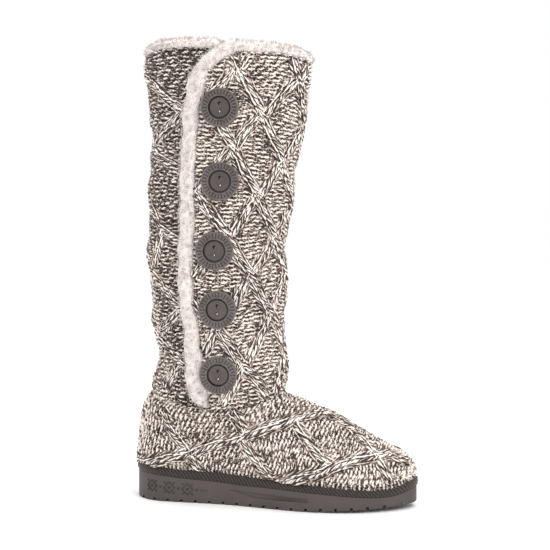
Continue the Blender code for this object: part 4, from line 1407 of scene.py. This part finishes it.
bm = bmesh.new()
for i in range(tread["notches"]):
    middle = tread["firstNotch"] + i * tread["notchPitch"]
    base = float(spring(stationAt(middle)))
    half = tread["notchWidth"] / 2
    boxInto(bm, (middle - half, -100, base - 4), (middle + half, 100, base + tread["notchDepth"]))
soleMesh = cutAway(soleMesh, meshOf("notches", bm, False))

bm = bmesh.new()
fluteRun = tread["fluteEnd"] - tread["fluteStart"]
corners = [(tread["fluteStart"], 0.8), (tread["fluteEnd"], 0.45), (tread["fluteEnd"], -0.45),
           (tread["fluteStart"] + 0.35 * fluteRun, -0.55)]
sides = []
for depth in (tread["fluteDepth"], -3.0):
    line = []
    for x, share in corners:
        station = float(stationAt(x))
        y = float(outerSide(station)) + depth
        middle = float(rubberTop(station) + spring(station)) * tread["fluteLevel"]
        line.append((x, y, middle + share * tread["fluteHeight"]))
    sides.append(addRing(bm, line))
fillBetween(bm, *sides)
soleMesh = cutAway(soleMesh, meshOf("flute", bm, False))
finishPiece("outsole_rubber", soleMesh, [rubber], ["outsole"])
soleMesh.shade_smooth()
soleMesh.set_sharp_from_angle(angle=math.radians(28))

stamp = {"first": -13.5, "pitch": 18.4, "count": 3, "size": 12.0, "line": 1.0, "proud": 0.45, "level": 0.56}


def sideFrame(x, height):
    # place on the outer side of the sole, with its run and outward directions
    behind, here, ahead = (float(outerSide(stationAt(x + step))) for step in (-1, 0, 1))
    run = Vector((2.0, ahead - behind, 0.0)).normalized()
    return Vector((x, here, height)), run, Vector((run.y, -run.x, 0.0))


def stampInto(bm, x, dz, radius, ring=False):
    # small diamond, either a frame or a solid dot, raised from the side
    station = float(stationAt(x))
    height = float(rubberTop(station)) * stamp["level"] + dz
    place, run, out = sideFrame(x, height)
    made = []
    radii = [radius, radius - stamp["line"]] if ring else [radius]
    for level in (-0.4, stamp["proud"]):
        for r in radii:
            corners = [place + run * (r * math.cos(a)) + Vector((0, 0, r * math.sin(a))) + out * level
                       for a in (0, math.pi / 2, math.pi, 1.5 * math.pi)]
            made.append(addRing(bm, corners))
    if ring:
        for lower, upper in ((0, 2), (2, 3), (3, 1), (1, 0)):
            joinRings(bm, made[lower], made[upper])
    else:
        fillBetween(bm, *made)


bm = bmesh.new()
for i in range(stamp["count"]):
    x = stamp["first"] + i * stamp["pitch"]
    stampInto(bm, x, 0, stamp["size"] / 2, True)
    stampInto(bm, x, 0, 1.6)
    for dx in (-1, 1):
        for dz in (-1, 1):
            stampInto(bm, x + 0.38 * dx * stamp["size"], 0.38 * dz * stamp["size"], 1.0)
    stampInto(bm, x + stamp["pitch"] / 2, 0, 1.3)
for i in range(3):
    stampInto(bm, stamp["first"] + 2.5 * stamp["pitch"] + 4 + 3 * i, 0, 0.8)
finishPiece("outsole_stamp", meshOf("outsole_stamp", bm, False), [stampRubber], [])
print("sole moulded")

# Tape round the joint

tape = {"thickness": 2.4, "proud": 1.0, "steps": 260}
inner = tape["proud"] - tape["thickness"]
plan = [
    (inner, lambda s: rubberTop(s) + 0.3),
    (tape["proud"] - 0.5, lambda s: rubberTop(s) + 0.3),
    (tape["proud"] - 0.05, lambda s: rubberTop(s) + 0.9),
    (tape["proud"] + 0.15, lambda s: (rubberTop(s) + tapeTop(s)) / 2),
    (tape["proud"] - 0.05, lambda s: tapeTop(s) - 0.8),
    (tape["proud"] - 0.5, lambda s: tapeTop(s) - 0.1),
    (inner, tapeTop),
]
rings = np.array([outlineRing(offset, height, tape["steps"]) for offset, height in plan])
walkedRing = lengthsAlong(np.concatenate([rings[3], rings[3][:1]])) / 10
count, steps = rings.shape[:2]
index = np.arange(count * steps).reshape(count, steps)
quads, uvs = [], []
acrossTape = np.array([0, 0.14, 0.24, 0.50, 0.76, 0.86, 1.0]) * 0.9
for i in range(count):
    j = (i + 1) % count
    a, b = index[i], np.roll(index[i], -1)
    c, d = np.roll(index[j], -1), index[j]
    quads.append(np.stack([a, b, c, d], -1)[:, ::-1])
    low, high = acrossTape[i], acrossTape[j] if j else 1.1
    left, right = walkedRing[:-1], walkedRing[1:]
    flatLow, flatHigh = np.full(steps, low), np.full(steps, high)
    uv = np.stack([np.stack([left, flatLow], -1), np.stack([right, flatLow], -1),
                   np.stack([right, flatHigh], -1), np.stack([left, flatHigh], -1)], 1)
    uvs.append(uv[:, ::-1])
tapeMesh = meshFromArrays("rand_tape_twill", rings.reshape(-1, 3), [np.concatenate(quads)], "tape",
                          [np.concatenate(uvs)])
finishPiece("rand_tape_twill", tapeMesh, [twillTape], ["rand_tape"])

# Footbed under the foot

footbed = {"play": 0.6, "nap": 2.3, "steps": 120}
edge = tape["proud"] - tape["thickness"] - shoe["wall"] - footbed["play"] - footbed["nap"]
bm = bmesh.new()
bedPlan = [(edge, lambda s: rubberTop(s) + 0.3), (edge, lambda s: rubberTop(s) + 2.8),
           (edge - 0.8, lambda s: rubberTop(s) + 3.6), (edge - 2.5, lambda s: rubberTop(s) + 3.8)]
stackRings(bm, bedPlan, footbed["steps"])
finishPiece("insole_fleece", meshOf("insole_fleece", bm, True), [lining], ["insole"])
print("tape and footbed made")

# Buttons

button = {
    "radius": 17.8,
    "thickness": 5.0,
    "steps": 72,
    "ticks": 30,
    "holeSpacing": 7.4,
    "holeRadius": 1.5,
    "seat": 0.6,               # back of the button over the flap's face
    "ring": (0.517, 0.597),    # stained dark, in shares of the radius
    "tickPlace": 0.79,         # middle of the ticks, in the same share
    "tickLengths": (4.6, 3.2, 4.6, 4.6, 2.6),
    "tickWidth": 1.35,
    "tickHeight": 0.5,
}

# share of the radius, share of the thickness, from the middle of the face out and round to the back
buttonProfile = [
    (0.00, 0.66), (0.30, 0.66), (0.500, 0.68), (0.515, 0.62), (0.520, 0.26), (0.590, 0.24), (0.597, 0.80),
    (0.606, 0.92), (0.625, 0.94), (0.645, 0.88), (0.655, 0.70), (0.70, 0.68), (0.90, 0.70), (0.915, 0.84),
    (0.935, 0.93), (0.970, 0.90), (1.00, 0.66), (1.00, 0.35), (0.97, 0.10), (0.88, 0.00), (0.00, 0.00),
]


def buttonMesh():
    bm = bmesh.new()
    verts = [bm.verts.new((r * button["radius"] * mm, 0, z * button["thickness"] * mm))
             for r, z in buttonProfile]
    edges = [bm.edges.new(pair) for pair in zip(verts, verts[1:])]
    bmesh.ops.spin(bm, geom=verts + edges, axis=(0, 0, 1), cent=(0, 0, 0), steps=button["steps"],
                   angle=2 * math.pi, use_merge=True)
    turned = meshOf("button", bm, True)
    bm = bmesh.new()
    for sign in (-1, 1):
        made = bmesh.ops.create_cone(bm, segments=20, cap_ends=True, radius1=button["holeRadius"] * mm,
                                     radius2=button["holeRadius"] * mm, depth=0.02)["verts"]
        bmesh.ops.translate(bm, verts=made, vec=(0, sign * button["holeSpacing"] / 2 * mm, 0))
    disc = cutAway(turned, meshOf("holes", bm, False))
    for face in disc.polygons:
        away = math.hypot(face.center.x, face.center.y) / (button["radius"] * mm)
        face.material_index = sum(away > edge for edge in button["ring"])
    return disc


def tickMesh():
    # radial bars moulded into the sunk band of the rim
    bm = bmesh.new()
    for i in range(button["ticks"]):
        length = button["tickLengths"][i % len(button["tickLengths"])]
        made = bmesh.ops.create_cube(bm, size=1.0)["verts"]
        size = (length * mm, button["tickWidth"] * mm, button["tickHeight"] * mm)
        bmesh.ops.scale(bm, verts=made, vec=size)
        band = (button["tickPlace"] * button["radius"] * mm, 0, 0.70 * button["thickness"] * mm)
        bmesh.ops.translate(bm, verts=made, vec=band)
        angle = i / button["ticks"] * 2 * math.pi
        bmesh.ops.rotate(bm, verts=made, cent=(0, 0, 0), matrix=Matrix.Rotation(angle, 3, "Z"))
    return meshOf("ticks", bm, False)


def seatMesh(mesh, seat, normal):
    # carry a mesh from its own frame to its place on the flap
    normal = Vector(normal)
    up = (Vector((0, 0, 1)) - normal * normal.z).normalized()
    right = up.cross(normal)
    base = (Vector(seat) + normal * button["seat"]) * mm
    for vert in mesh.vertices:
        at = vert.co.copy()
        vert.co = base + right * at.x + up * at.y + normal * at.z
    mesh.update()
    return mesh


def glintMesh():
    # pale bead in the lower hole: a painted highlight where the hole shows a bright glint
    store = YarnStore(10)
    y = -button["holeSpacing"] / 2
    path = np.array([[[0.0, y, z] for z in (2.4, 2.9, 3.3, 3.5)]])
    radii = np.array([0.95, 0.95, 0.75, 0.2])
    store.add(path, np.broadcast_to(np.array([1.0, 0, 0]), path.shape), radii, 0.0)
    return store.mesh("button_glint")


def threadMesh():
    # thread between the holes in a slack S, dipping into each
    store = YarnStore(8)
    half = button["holeSpacing"] / 2
    t = np.linspace(-1, 1, 15)
    for side in (-0.4, 0.4):
        y = half * 1.12 * t
        x = side + 1.2 * np.sin(t * math.pi)
        z = button["thickness"] * 0.50 + 1.15 - 1.3 * np.abs(t) ** 6
        path = np.stack([x, y, z], -1)[None]
        store.add(path, np.broadcast_to(np.array([0, 0, 1.0]), path.shape), 0.42, 0.0)
    return store.mesh("button_thread")


plainButton, plainTicks = buttonMesh(), tickMesh()
for number, (seat, normal) in enumerate(buttonSeats, start=1):
    disc = seatMesh(plainButton.copy(), seat, normal)
    disc.shade_smooth()
    disc.set_sharp_from_angle(angle=math.radians(35))
    finishPiece(f"button_{number}_disc", disc, [buttonPlastic, buttonStain, buttonRim],
                [f"button_{number}"])
    # the pale bead in the lower hole is a painted highlight
    smallParts = (("ticks", plainTicks.copy(), buttonStain), ("glint", glintMesh(), pileBase),
                  ("thread", threadMesh(), thread))
    for part, mesh, material in smallParts:
        finishPiece(f"button_{number}_{part}", seatMesh(mesh, seat, normal), [material], [])
print("buttons sewn")

# Studio: pale floor, soft light, camera level with the shaft

studio = {
    "yaw": 16.0,
    "elevation": 2.0,
    "distance": 1.3,
    "aim": (0.0996, 0.0, 0.2167),
    "frameWidth": 550 / 1044,      # metres across the picture at the aim
}


def softBox(name, place, size, power):
    light = bpy.data.lights.new(name, "AREA")
    light.shape = "RECTANGLE"
    light.size, light.size_y = size
    light.energy = power
    lamp = addObject(name, light)
    lamp.location = place
    lamp.rotation_euler = (Vector(studio["aim"]) - Vector(place)).to_track_quat("-Z", "Y").to_euler()


bm = bmesh.new()
bmesh.ops.create_circle(bm, cap_ends=True, segments=96, radius=12.0)
floorMesh = bpy.data.meshes.new("floor")
bm.to_mesh(floorMesh)
bm.free()
floorPaint, _, floorShader = newMaterial("paleFloor", 0.9)
floorShader.inputs["Base Color"].default_value = linear("#FFFFFF")
floorMesh.materials.append(floorPaint)
floor = addObject("floor", floorMesh)

world = bpy.data.worlds.new("studioWorld")
bpy.context.scene.world = world
world.use_nodes = True
skyLight = world.node_tree.nodes["Background"]
skyLight.inputs[0].default_value = (1.0, 1.0, 1.0, 1.0)
skyLight.inputs[1].default_value = 1.0

bpy.context.scene.view_settings.view_transform = "Standard"

softBox("keyLight", (1.3, -1.3, 1.5), (0.8, 0.8), 22)
softBox("fillLight", (-1.5, -1.5, 0.9), (1.4, 1.4), 5)
softBox("topLight", (0.1, 0.3, 2.0), (1.0, 1.0), 10)

yaw, elevation = math.radians(studio["yaw"]), math.radians(studio["elevation"])
flat = math.cos(elevation)
away = Vector((math.sin(yaw) * flat, -math.cos(yaw) * flat, math.sin(elevation)))
lens = bpy.data.cameras.new("camera")
lens.sensor_width = 36.0
lens.lens = 36.0 * studio["distance"] / studio["frameWidth"]
camera = addObject("camera", lens)
camera.location = Vector(studio["aim"]) + away * studio["distance"]
camera.rotation_euler = (-away).to_track_quat("-Z", "Y").to_euler()
bpy.context.scene.camera = camera
print("studio set")
